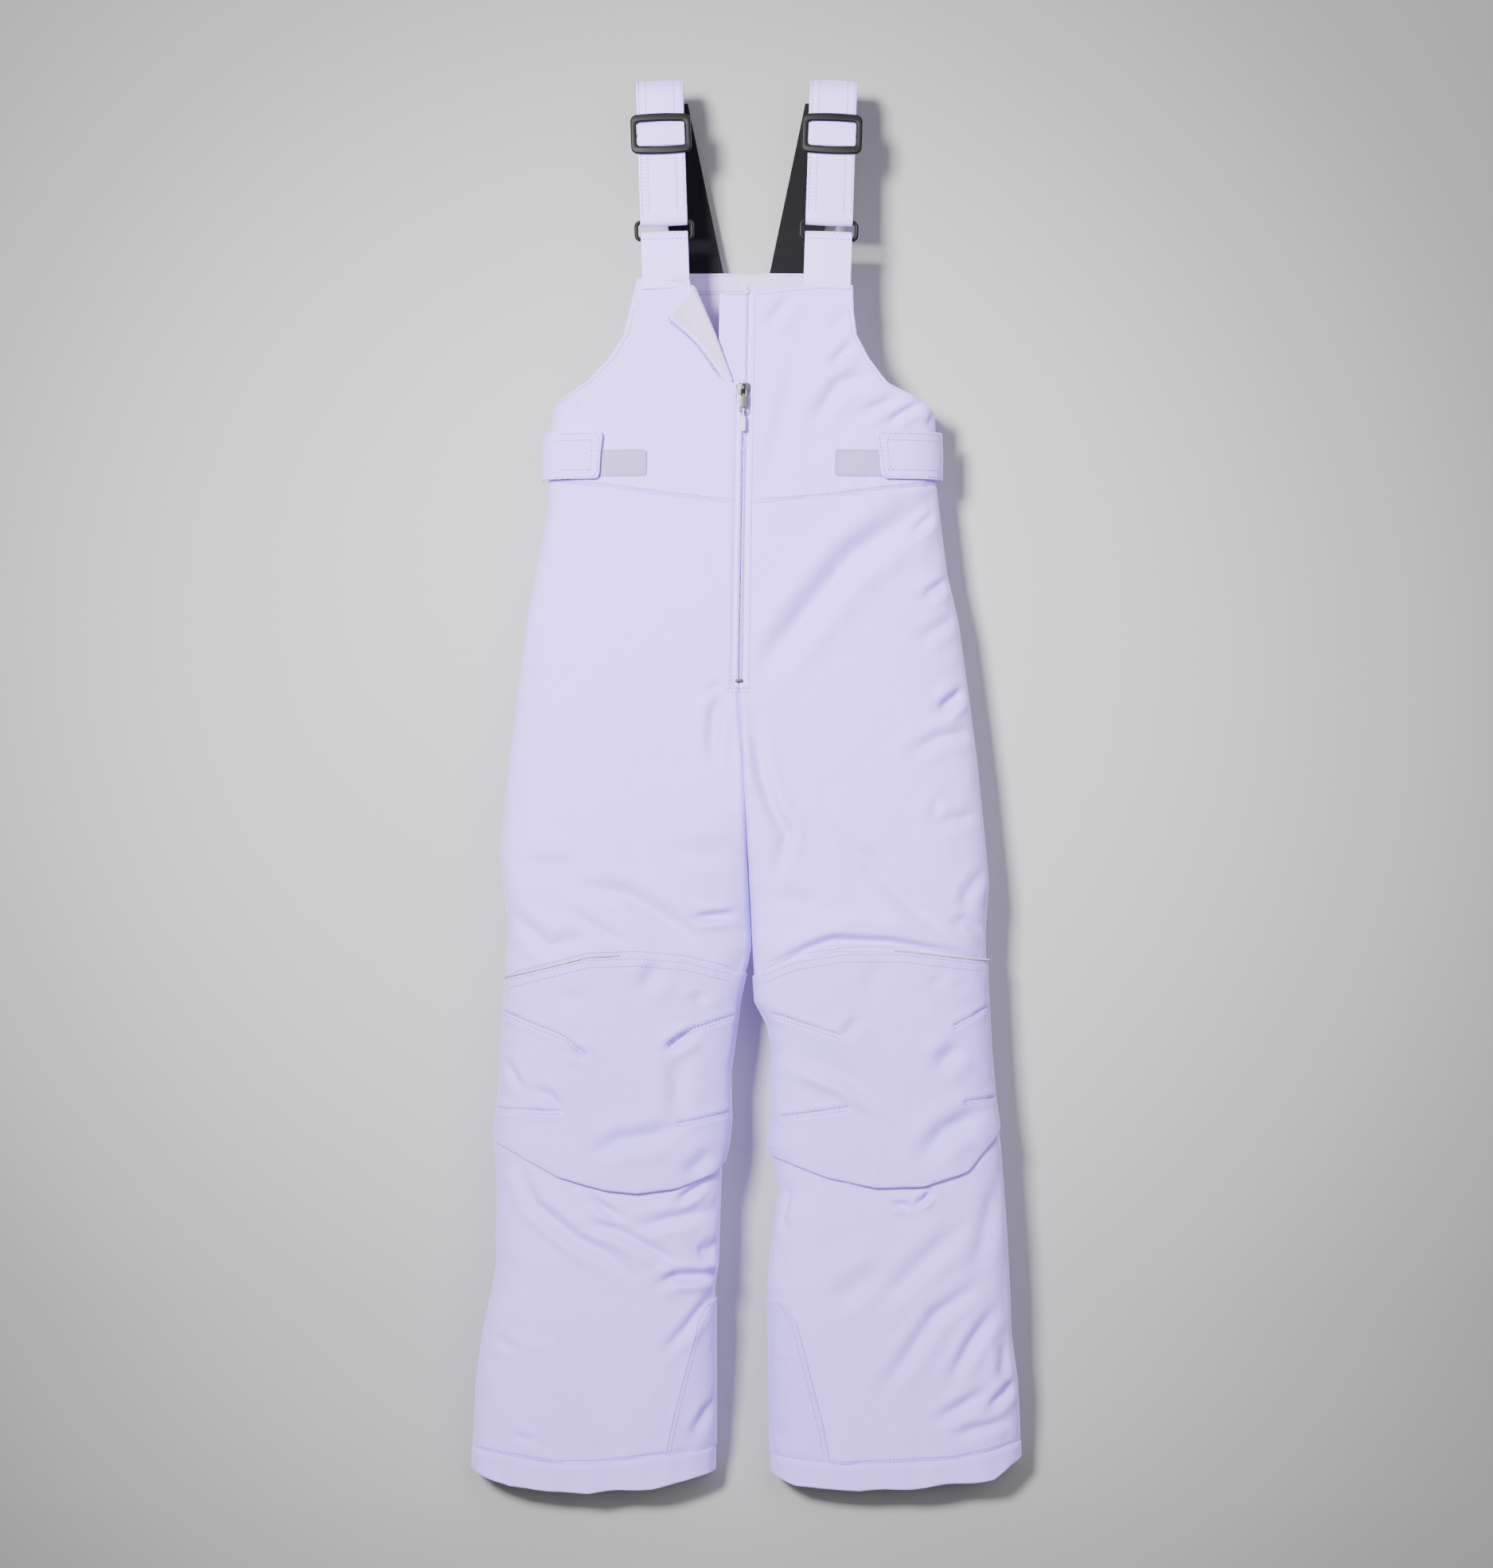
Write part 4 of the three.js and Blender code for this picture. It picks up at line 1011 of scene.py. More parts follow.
@dataclass(frozen=True)
class Hard:
    """Moulded or cast material: an even colour with fine surface texture and light wear.

    Args:
        name: maker's name of the material.
        tone: its colour.
        wear: its colour where handled.
        rough: roughness.
        metallic: 1 for metal.
        grain: grit size in millimetres.
        relief: depth of the grit in millimetres.
        shine: level of its gloss.
    """

    name: str
    tone: str
    wear: str
    rough: float = 0.4
    metallic: float = 0.0
    grain: float = 0.6
    relief: float = 0.02
    shine: float = 0.5

    def material(self) -> Material:
        """Builds the node material."""
        mat, tree, skin = bare(self.name)
        where = put(tree, "ShaderNodeTexCoord").outputs["Object"]
        patches = put(tree, "ShaderNodeTexNoise", {"Vector": where, "Scale": grains(5), "Detail": 4.0})
        amount = put(tree, "ShaderNodeMapRange", {"Value": patches.outputs["Fac"], "From Min": 0.5,
                "From Max": 0.75})
        mix = put(tree, "ShaderNodeMix", {"Factor": amount, 6: colour(self.tone),
                7: colour(self.wear)}, data_type="RGBA")
        scuffs = put(tree, "ShaderNodeMapRange", {"Value": patches.outputs["Fac"], "To Min": self.rough - 0.06,
                "To Max": self.rough + 0.08})
        grit = put(tree, "ShaderNodeTexNoise", {"Vector": where, "Scale": grains(self.grain), "Detail": 2.0})
        bump = put(tree, "ShaderNodeBump", {"Height": grit.outputs["Fac"], "Distance": self.relief * MM})
        feed(tree, skin, {"Base Color": mix.outputs[2], "Normal": bump, "Roughness": scuffs,
            "Metallic": self.metallic, "Specular IOR Level": self.shine})
        return mat


class Finish(Enum):
    """Every finish of the garment: its record slot, and how it is made."""

    # Insulated shell: plain-woven nylon with a dry, faintly crinkled hand.
    SHELL = ("shell_fabric", Cloth("woven_nylon_shell", "#c1a4ff", "#b396f8"))
    # Knee patches: heavier twill, a shade deeper, with a fine diagonal.
    KNEE = ("knee_fabric", Cloth("nylon_twill", "#bca3ff", "#a88ff2", 1.3, 58, 0.09, warp_only=True))
    # Lining: smooth knit, nearly white, with a soft nap.
    LINING = ("lining_fabric", Cloth("brushed_knit_lining", "#bfabda", "#b09ccc", 0.9, 0, 0.04, 0.8, 0.4))
    # Strap cloth: the shell fabric, folded and stitched flat.
    WEBBING = ("webbing", Cloth("folded_nylon_strap", "#c8aeff", "#baa0fb", 1.1, 0, 0.06, crumple=0.22))
    # Loop tape: fuzzy, matt and slightly darker.
    PILE = ("loop_pile", Cloth("loop_pile_tape", "#a293c6", "#8779ac", 0.8, 20, 0.22, 0.95, 0.6, 0.3))
    # Elastic: knitted ribs with rubber inside.
    ELASTIC = ("black_elastic", Cloth("ribbed_elastic", "#0f0e10", "#060507", 1.3, 90, 0.1, 0.95, 0.0, 0.05, True))
    # Sewing thread: spun polyester, tone on tone.
    THREAD = ("shell_fabric", Hard("polyester_thread", "#8d76d6", "#816bca", 0.6, grain=0.3, relief=0.04))
    # Moulded acetal of the buckles: smooth, slightly worn at the edges.
    RESIN = ("black_resin", Hard("moulded_acetal", "#050506", "#0a0b0c", 0.45, shine=0.16))
    # Zip teeth: drawn polyester monofilament.
    COIL = ("coil_resin", Hard("polyester_monofilament", "#bca9f0", "#a995e0", 0.42, grain=0.8))
    # Slider and pull: zinc casting with a satin nickel plate.
    METAL = ("zip_metal", Hard("plated_zinc", "#4e4d4b", "#3f3e3c", 0.3, 1.0, 0.9, 0.012))
    # Grip: soft moulded elastomer.
    GRIP = ("grip_resin", Hard("moulded_elastomer", "#b6b1d8", "#aaa5cc", 0.55, grain=0.7, relief=0.03))
    # Knee piping: grey-green reflective tape.
    REFLECTIVE = ("reflective", Hard("glass_bead_tape", "#a9b2ac", "#98a09c", 0.38, 0.2, 0.25, 0.03))

    def __init__(self, slot: str, recipe: object) -> None:
        """Keeps the slot and the recipe."""
        self.slot = slot
        self.recipe = recipe


(SHELL, KNEE, LINING, WEBBING, PILE, ELASTIC, THREAD, RESIN, COIL, METAL, GRIP, REFLECTIVE) = Finish


@dataclass
class Shop:
    """What every sub-assembly needs to build and hang its pieces."""

    made: dict[Finish, Material] = field(default_factory=dict)
    rows: RowMaker = field(default_factory=RowMaker)

    def __getitem__(self, finish: Finish) -> Material:
        """The material of a finish, made once."""
        if finish not in self.made:
            self.made[finish] = finish.recipe.material()
        return self.made[finish]

    def hang(self, obj: Piece, finish: Finish, *nodes: str, body: str = "garment") -> Piece:
        """Puts a finished piece on its body and in place of its CAD nodes."""
        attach(obj, body)
        if nodes:
            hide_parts(*nodes)
        LOG.info("%s on %s: %d faces", obj.name, body, len(obj.data.polygons))
        return obj

    def sheet(self, name: str, grid: Array, normal: Array, thick: float, edge: float, finish: Finish,
        node: str, cloth: Optional[Finish] = None, body: str = "garment") -> Piece:
        """A closed sheet that stands for a node, in the finish of its slot or in another cloth."""
        return self.hang(slab(name, grid, normal, thick, [self[cloth or finish]], edge), finish, node,
            body=body)

    def stitches(
        self, name: str, rows: Lines, body: str = "garment", pitch: float = 3.1, length: float = 2.2,
        thread: float = 0.85,
    ) -> Piece:
        """A row of machine stitches along paths on the cloth."""
        made = self.rows.make(name, rows, pitch, (length, thread, thread * 0.8), self[THREAD])
        return self.hang(made, THREAD, body=body)


def dense(path: Path2, step: float = 2.0) -> Array:
    """Points at even steps along a polyline."""
    points = np.array(path, float)
    run_ = np.concatenate([[0], np.cumsum(np.hypot(*np.diff(points, axis=0).T))])
    at = np.linspace(0, run_[-1], max(int(run_[-1] / step), 2) + 1)
    return np.stack([np.interp(at, run_, points[:, i]) for i in range(points.shape[1])], -1)


def sewn(side: Side, face: Face, path: Path2, proud: float = 0.25, relief: Optional[Relief] = None
) -> tuple[Array, Array]:
    """A line sewn on the surface, from own-side rows of (distance, height)."""
    rows = dense(path)
    return SKIN.at(side, face, rows[:, 0], rows[:, 1], proud, relief)


def shifted(path: Path2, dz: float, low: float, high: float) -> Path2:
    """The rows whose distance is within limits, moved up."""
    rows = dense(path)
    keep = rows[(rows[:, 0] > low) & (rows[:, 0] < high)]
    return tuple((x, z + dz) for x, z in keep)


# --- sewn panels
@dataclass
class Panel:
    """One padded panel, sewn at its edges.

    Args:
        name: object name.
        side: half of the garment.
        face: front or back.
        top: upper edge, rows of (own distance, height).
        low: lower edge.
        nodes: CAD nodes that it stands for.
        inner: inner edge by height, if not the form's.
        outer: outer edge by height, if not the form's.
        thick: thickness.
        proud: height above the form.
        lip: extra height at the lower edge.
        tuck_top: how far its top dips behind its neighbour.
        tuck_low: how far its foot dips behind its neighbour.
        columns: points across.
        pitch: spacing of points down.
        relief: relief of its cloth, if not that of the face.
        finish: finish of its outer side.
    """

    name: str
    side: Side
    face: Face
    top: Path2
    low: Path2
    nodes: tuple[str, ...]
    inner: Optional[Rule] = None
    outer: Optional[Rule] = None
    thick: float = 4.0
    proud: float = 0.0
    lip: float = 0.0
    tuck_top: float = 0.0
    tuck_low: float = 0.0
    columns: int = 108
    pitch: float = 1.95
    relief: Optional[Relief] = None
    finish: Finish = SHELL

    def edge(self, rows: Path2, u: Array) -> Array:
        """Height of an edge at shares of the way across."""
        table = np.array(rows, float)
        z0 = np.full_like(u, table[:, 1].mean())
        for _ in range(3):
            own = self.own(u, z0)
            z0 = np.interp(own, table[:, 0], table[:, 1])
        return z0

    def own(self, u: Array, z: Array) -> Array:
        """Distance from the middle at shares of the way across and heights."""
        inner = self.inner(z) if self.inner else FORM.inner(self.side, z)
        outer = self.outer(z) if self.outer else FORM.outer(self.side, z)
        return inner + (outer - inner) * u

    def grid(self) -> tuple[Array, Array]:
        """Points of the outer surface and their directions."""
        spread = FORM.spread(self.columns)
        near = np.array([0.0, 0.0012, 0.0035, 0.007])
        u = np.concatenate([near, spread[1:-1] * 0.98 + 0.01, 1 - near[::-1]])
        top, low = self.edge(self.top, u), self.edge(self.low, u)
        length = float((top - low).max())
        t = shares(int(length / self.pitch), length)
        z = top[None] * (1 - t[:, None]) + low[None] * t[:, None]
        own = self.own(u[None], z)
        lift = self.proud + self.lip * smooth((t[:, None] - 0.62) / 0.38) ** 1.5 * np.sin(np.pi * u[None]) ** 0.5
        if self.tuck_top:
            lift = lift - self.tuck_top * smooth((12 - t[:, None] * length) / 9)
        if self.tuck_low:
            lift = lift - self.tuck_low * smooth((12 - (1 - t[:, None]) * length) / 9)
        return SKIN.at(self.side, self.face, own, z, lift, self.relief)

    def build(self, shop: Shop) -> Piece:
        """Makes the panel."""
        points, normal = self.grid()
        finishes = [shop[self.finish], shop[LINING]]
        made = slab(self.name, points, normal, self.thick, finishes, origin=(0.0, float(points[0, 0, 2]) * MM))
        shop.hang(made, self.finish, *self.nodes)
        return made


def zip_edge(side: Side) -> Rule:
    """Inner edge of a front panel: beside the zip, then on the centre seam."""
    def inner(z: Array) -> Array:
        z = np.asarray(z, float)
        gap = ZIP_GAP * smooth((z + 503) / 8)
        return FORM.inner(side, z) + gap
    return inner


FOLD_FOOT, FOLD_HEAD = np.array([-10.4, -252.0]), np.array([-46.0, -171.0])


def fold_edge(z: Array) -> Array:
    """Inner edge of the wearer's-right bib, which is turned back along a fold near its top."""
    z = np.asarray(z, float)
    fold = np.interp(z, [FOLD_FOOT[1], FOLD_HEAD[1]], [-FOLD_FOOT[0], -FOLD_HEAD[0]])
    return np.where(z > FOLD_FOOT[1], fold, zip_edge(RIGHT)(z))


@dataclass
class Trousers:
    """Bib and leg panels of the shell."""

    overlap: float = 0.7
    tuck: float = 11.0

    def panels(self, side: Side) -> list[Panel]:
        """The panels of one half."""
        n, m, t = side.label, self.overlap, self.tuck
        inner = fold_edge if side is RIGHT else zip_edge(side)
        up = lambda rows, dz: tuple((x, z + dz) for x, z in rows)
        return [
            Panel(f"{n}_bib_front_cloth", side, FRONT, BIB_TOP[side], up(WAIST[side], -m),
                (f"{n}_bib_front",), inner=inner, thick=3.4),
            Panel(f"{n}_thigh_front_cloth", side, FRONT, up(WAIST[side], m), up(KNEE_TOP[side], -t),
                (f"{n}_front_thigh",), inner=zip_edge(side), tuck_low=5.0),
            Panel(f"{n}_shin_front_cloth", side, FRONT, up(KNEE_LOW[side], t), up(HEM_SEAM[side], -m),
                (f"{n}_front_shin",), tuck_top=5.0),
            Panel(f"{n}_knee_patch", side, FRONT, KNEE_TOP[side], KNEE_LOW[side], (f"{n}_knee_panel",),
                proud=1.6, lip=4.2, thick=3.6, relief=SKIN.knee, finish=KNEE, pitch=2.0),
            Panel(f"{n}_thigh_back_cloth", side, BACK, up(BACK_WAIST, m), up(BACK_KNEE, -m),
                (f"{n}_back_thigh",)),
            Panel(f"{n}_calf_back_cloth", side, BACK, up(BACK_KNEE, m), up(HEM_SEAM[side], -m),
                (f"{n}_back_calf",)),
        ]

    def build(self, shop: Shop) -> None:
        """Makes every panel and the topstitching on them."""
        for side in Side:
            for panel in self.panels(side):
                panel.build(shop)
        halves = []
        for side in Side:
            panel = Panel(f"bib_back_{side.label}", side, BACK, BACK_TOP,
                tuple((x, z - self.overlap) for x, z in BACK_WAIST), (), thick=3.4)
            points, normal = panel.grid()
            halves.append(slab(panel.name, points, normal, panel.thick, [shop[SHELL], shop[LINING]]))
        back = joined("bib_back_cloth", halves)
        shop.hang(back, SHELL, "bib_back")
        self.topstitch(shop)

    def topstitch(self, shop: Shop) -> None:
        """Sews the visible lines."""
        for side in Side:
            n = side.label
            rows = [sewn(side, face, shifted(*line)) for face, *line in (
                (FRONT, WAIST[side], 3.2, 12, 160), (BACK, BACK_WAIST, -3.0, 6, 160),
                (FRONT, HEM_SEAM[side], 2.6, 30, 218), (BACK, HEM_SEAM[side], 2.6, 30, 218),
                (FRONT, KNEE_TOP[side], 3.4, 14, 190), (BACK, BACK_KNEE, 3.0, 24, 190),
            )]
            zs = np.linspace(-500, -180 if side is LEFT else -262, 120)
            line = FORM.inner(side, zs) + ZIP_GAP + 2.6
            rows.append(SKIN.at(side, FRONT, line, zs, 0.25))
            rows.append(sewn(side, FRONT, shifted(BIB_TOP[side], -3.4, 10 if side is LEFT else 52, 82)))
            arm = [(x - 4.2, z) for z, x in OUTSEAM[side][:6]]
            rows.append(sewn(side, FRONT, arm[1:]))
            rows.append(sewn(side, BACK, arm[1:]))
            shop.stitches(f"{n}_shell_stitches", rows)
            knee = [
                SKIN.at(side, FRONT, *np.array(shifted(KNEE_TOP[side], dz, 14, 192)).T, 1.85, SKIN.knee)
                for dz in (-2.6, -8.6)
            ]
            for dart in DARTS:
                if dart[0][0] * side.value > 0:
                    for dz in (1.9, -1.9):
                        path = [(side.value * x, z + dz) for x, z in dart]
                        knee.append(sewn(side, FRONT, path, 1.9, SKIN.knee))
            shop.stitches(f"{n}_knee_stitches", knee)


# --- hems
@dataclass
class Hems:
    """Hem bands, scuff guards, inner snow cuffs and knee piping."""

    band_thick: float = 3.2
    ripple: float = 1.7
    guard_proud: float = 1.1
    guard: Path2 = ((-1001, 25.5), (-1005, 33), (-1020.5, 42), (-1060, 52), (-1100, 62), (-1130, 68))
    cuff_top: float = -1010.0
    cuff_low: float = -1112.0

    def band(self, shop: Shop, side: Side) -> None:
        """The band round the foot of a leg, rippled where it was sewn on."""
        n = side.label
        finishes = [shop[SHELL], shop[LINING]]
        noise = Lattice(400 + side.value)
        parts = []
        for face in Face:
            low = HEM_LOW[side] if face is FRONT else tuple((x, z + 1.5) for x, z in HEM_LOW[side])
            panel = Panel(f"band_{face.name}", side, face, HEM_SEAM[side], low, (), columns=130, pitch=1.6)
            points, normal = panel.grid()
            rows = points.shape[0]
            t = np.linspace(0, 1, rows)[:, None]
            x = points[..., 0]
            along = noise.at(x / 19 + 4 * face.value, t * 0.8) + 0.4 * noise.at(x / 8 + 30, t * 0.5 + 3)
            edge = np.minimum(np.arange(points.shape[1]), points.shape[1] - 1 - np.arange(points.shape[1]))
            fade = smooth(edge / 16.0)[None]
            points = points + normal * ((0.7 + self.ripple * along * (0.3 + 0.9 * t)) * fade + 0.5)[..., None]
            points[..., 2] += 1.4 * noise.at(x / 27, 0.3) * t * fade
            parts.append(slab(panel.name, points, normal, self.band_thick, finishes, edge=1.5))
        made = joined(f"{n}_hem", parts)
        shop.hang(made, SHELL, f"{n}_hem_band")

    def guards(self, shop: Shop, side: Side) -> None:
        """Hard-wearing patch inside the ankle, edged with a fold."""
        n = side.label
        finishes = [shop[KNEE], shop[KNEE]]
        rows = np.array(self.guard)
        parts, lines = [], []
        for face in Face:
            reach = lambda z: np.interp(-np.asarray(z, float), -rows[:, 0], rows[:, 1])
            top = ((10, -1001.5), (70, -1001.5))
            low = tuple((x, z - 0.6) for x, z in HEM_SEAM[side][:4])
            panel = Panel(f"guard_{face.name}", side, face, top, low, (), outer=reach, proud=self.guard_proud,
                columns=34, pitch=2.4)
            points, normal = panel.grid()
            parts.append(slab(panel.name, points, normal, 1.0, finishes, edge=0.5))
            zs = np.linspace(-1004, -1126, 60)
            edge = SKIN.at(side, face, reach(zs) - 0.6, zs, self.guard_proud + 0.1)
            parts.append(tube(f"cord_{face.name}", edge[0], 0.75, shop[SHELL]))
            lines.append(SKIN.at(side, face, reach(zs) - 4.2, zs, self.guard_proud + 0.25))
        made = joined(f"{n}_ankle_guard", parts)
        shop.hang(made, KNEE, f"{n}_scuff_guard")
        shop.stitches(f"{n}_ankle_stitches", lines)

    def cuff(self, shop: Shop, side: Side) -> None:
        """Inner gaiter of thin cloth, drawn in by a ribbed elastic at its foot."""
        n = side.label
        turn = np.linspace(0, 2 * np.pi, 181)
        zs = np.linspace(self.cuff_top, self.cuff_low, 44)
        noise = Lattice(500 + side.value)
        grid = np.empty((len(zs), len(turn), 3))
        lift = np.empty_like(grid)
        for i, z in enumerate(zs):
            outer, inner = float(FORM.outer(side, z)), float(FORM.inner(side, z))
            drawn = 6.5 + 15.5 * float(smooth((self.cuff_top - 6 - z) / 84))
            half, mid = (outer - inner) / 2 - drawn, (outer + inner) / 2
            fold = 1.3 * noise.at(turn * 9, i / 24.0) * min(1, i / 8)
            c, s = np.cos(turn), np.sin(turn)
            shape = (np.abs(c) ** 2.6 + np.abs(s) ** 2.6) ** (-1 / 2.6)
            depth = 36.0 - drawn
            grid[i] = np.stack([side.value * mid + (half + fold) * c * shape, (depth + fold) * s * shape,
                    np.full_like(c, z)], -1)
            lift[i] = unit(np.stack([c / half, s / depth, np.zeros_like(c)], -1))
        flat = (float(run(grid, 1)[:, -1].mean()) * MM, (self.cuff_top - self.cuff_low) * MM)
        cloth = shop.sheet(f"{n}_snow_gaiter", grid, lift, 0.9, 0.4, LINING, f"{n}_snow_cuff")
        rows = np.linspace(self.cuff_low, self.cuff_low + 14, 57)
        pick = grid[-8:].mean(0)
        rib = 0.35 * np.sin(rows / 1.3 * 2 * np.pi)
        drop = lift[-1] * -1.6
        band = pick[None] + drop[None] + lift[-1][None] * rib[:, None, None]
        band[..., 2] = rows[::-1, None]
        shop.sheet(f"{n}_gaiter_elastic", band, lift[-1], 1.2, 0.5, ELASTIC,
            f"{n}_cuff_elastic")

    def piping(self, shop: Shop, side: Side) -> None:
        """Thin piping in the outer part of the knee's upper seam."""
        n = side.label
        path = shifted(KNEE_TOP[side], 0.4, 104 if side is RIGHT else 120, 199)
        points, _ = sewn(side, FRONT, path, 2.1, SKIN.knee)
        shop.hang(tube(f"{n}_knee_cord", points, 0.8, shop[REFLECTIVE]), REFLECTIVE, f"{n}_knee_piping")

    def build(self, shop: Shop) -> None:
        """Makes the pieces of both legs."""
        for side in Side:
            self.band(shop, side)
            self.guards(shop, side)
            self.cuff(shop, side)
            self.piping(shop, side)


# --- zip
@dataclass
class Zip:
    """Coil zip from the bib's top to below the waist, its slider and pull, and the flap behind it."""

    low: float = -494.5
    top: float = -176.0
    split: float = -253.0
    tape_front: float = -33.2
    slider_z: float = -257.0
    tooth: float = 1.45
    coil: tuple[float, float, float] = (3.0, 1.0, 2.0)
    flap_reach: float = 21.0

    def line(self, z: Array, dx: float, y: float) -> Array:
        """Points beside the zip's axis."""
        z = np.asarray(z, float)
        return np.stack([FORM.zip_x(z) + dx, np.full_like(z, y), z], -1)

    def tape(self, shop: Shop, name: str, z0: float, z1: float, near: float, far: float, node: str) -> None:
        """One woven tape."""
        zs = np.linspace(z1, z0, int((z1 - z0) / 4) + 2)
        dx = np.linspace(near, far, 7)
        grid = np.stack([self.line(zs, d, self.tape_front) for d in dx], 1)
        shop.sheet(name, grid, FRONTWARDS, 0.7, 0.35, SHELL, node, WEBBING)

    def teeth(self, shop: Shop, name: str, z0: float, z1: float, dx: float, shift: float, node: str) -> None:
        """One run of coil."""
        zs = np.linspace(z0 + shift, z1, 60)
        path = self.line(zs, dx, self.tape_front - 0.95)
        made = shop.rows.make(name, [(path, FRONTWARDS)], self.tooth, self.coil, shop[COIL], 90)
        shop.hang(made, COIL, node)

    def stops(self, shop: Shop) -> None:
        """Moulded stops at the ends of the chain."""
        block = rounded(3.4, 3.4, 1.2)
        place = moved(self.line(-176.6, 1.4, self.tape_front - 1.1))
        made = stamped("left_zip_upper_stop", [block], 2.0, 0.6, shop[COIL], place)
        shop.hang(made, COIL, "left_zip_top_stop")
        place = moved(self.line(-494.2, 0, self.tape_front - 0.9))
        made = stamped("zip_foot_stop", [rounded(6.6, 2.6, 1.1)], 2.6, 0.6, shop[METAL], place)
        shop.hang(made, COIL, "zip_bottom_stop")

    def place(self) -> Array:
        """The slider's frame: its middle on the zip's axis, leaning with the zip."""
        lean = math.atan(ZIP_SLOPE)
        c, s = math.cos(lean), math.sin(lean)
        frame = np.array([[c, 0, s, 0], [0, 1, 0, 0], [-s, 0, c, 0], [0, 0, 0, 1.0]])
        frame[:3, 3] = [float(FORM.zip_x(self.slider_z)), 0, self.slider_z]
        return frame

    def slider(self, shop: Shop) -> None:
        """Cast slider: two waisted plates with flanges, a wedge and a bridge."""
        metal = shop[METAL]
        t = np.linspace(0, 1, 9)
        right = np.stack([3.3 + 1.5 * smooth(t * 1.6), -6.0 + 11.2 * t], -1)
        crown = np.array([[3.6, 5.9], [1.6, 5.7], [0.0, 4.9]])
        half = np.concatenate([[[0, -6.0]], right, crown])
        outline = np.concatenate([half, (half[1:-1] * [-1, 1])[::-1]])
        parts = []
        for y in (-36.55, -31.55):
            parts.append(stamped("plate", [outline], 1.1, 0.4, metal, self.place() @ moved((0, y, 0))))
        for sign in (-1, 1):
            rail = np.stack([sign * (3.3 + 1.5 * smooth(t * 1.6) - 0.3), np.full_like(t, -35.5), -5.4 + 10 * t], -1)
            parts.append(tube("flange", carried(rail, self.place()), 0.55, metal))
        wedge = np.array([[-1.1, 5.4], [1.1, 5.4], [0.7, 2.4], [0, 1.4], [-0.7, 2.4]])
        parts.append(stamped("wedge", [wedge], 4.2, 0.2, metal, self.place() @ moved((0, -34.05, 0))))
        turn = np.linspace(0, np.pi, 15)
        bridge = np.stack([np.zeros_like(turn), -37.0 - 4.0 * np.sin(turn) ** 0.7, 1.5 - 3.6 * np.cos(turn)], -1)
        parts.append(tube("bridge", carried(bridge, self.place()), 0.85, metal))
        made = joined("zip_slider_body", parts)
        shop.hang(made, METAL, "zip_slider", body="zip_slider")

    def pull(self, shop: Shop) -> None:
        """Stamped pull with two slots, and the moulded grip on its foot."""
        metal, grip = shop[METAL], shop[GRIP]
        axis_y, axis_z, length = -39.3, 1.5, 21.0
        centre = axis_z + 0.8 - (length + 0.8) / 2
        half = (length + 0.8) / 2
        z = np.linspace(-1, 1, 15)
        width = 3.1 + 0.75 * np.sin(np.pi * (z + 1) / 2) ** 2
        turn = np.linspace(0.3, np.pi - 0.3, 7)
        rim = np.concatenate([np.stack([width, z * (half - 1.6)], -1),
                np.stack([2.2 * np.cos(turn), half - 1.6 + 1.6 * np.sin(turn)], -1)])
        rim = np.concatenate([rim, -rim])
        slot = rounded(3.4, 5.4, 1.4) + [0, half - 4.4]
        eye = rounded(4.6, 3.2, 1.3) + [0, -half + 3.6]
        plate = stamped("zip_pull_plate", [rim, slot[::-1], eye[::-1]], 1.3, 0.35, metal,
            self.place() @ moved((0, axis_y, centre)))
        shop.hang(plate, METAL, "zip_pull", body="zip_pull")
        top, long = axis_z - length + 4.6, 19.0
        parts = []
        place = self.place() @ moved((0, axis_y, top - 6.2 - (long - 6.2) / 2))
        body = rounded(4.6, long - 6.2, 2.0)
        parts.append(stamped("grip_body", [body], 2.9, 1.2, grip, place))
        loop = np.array([[x, axis_y + y, z] for x, y, z in
                [(0, -1.15, top - 8), (0, -1.3, top - 4.5), (0, -1.25, top - 1.8), (0, 0, top - 0.3),
                    (0, 1.25, top - 1.8), (0, 1.3, top - 4.5), (0, 1.15, top - 8)]])
        even = np.linspace(0, 6, 31)
        loop = np.stack([np.interp(even, range(7), loop[:, i]) for i in range(3)], -1)
        parts.append(tube("grip_loop", carried(loop, self.place()), 0.75, grip, sides=4))
        for dz in np.linspace(-2.6, -9.6, 4):
            bar = np.array([[x, axis_y - 1.42, top - 6.2 + dz] for x in np.linspace(-1.5, 1.5, 5)])
            parts.append(tube("grip_rib", carried(bar, self.place()), 0.32, grip))
        made = joined("zip_pull_moulding", parts)
        shop.hang(made, GRIP, "zip_pull_grip", body="zip_pull_grip")

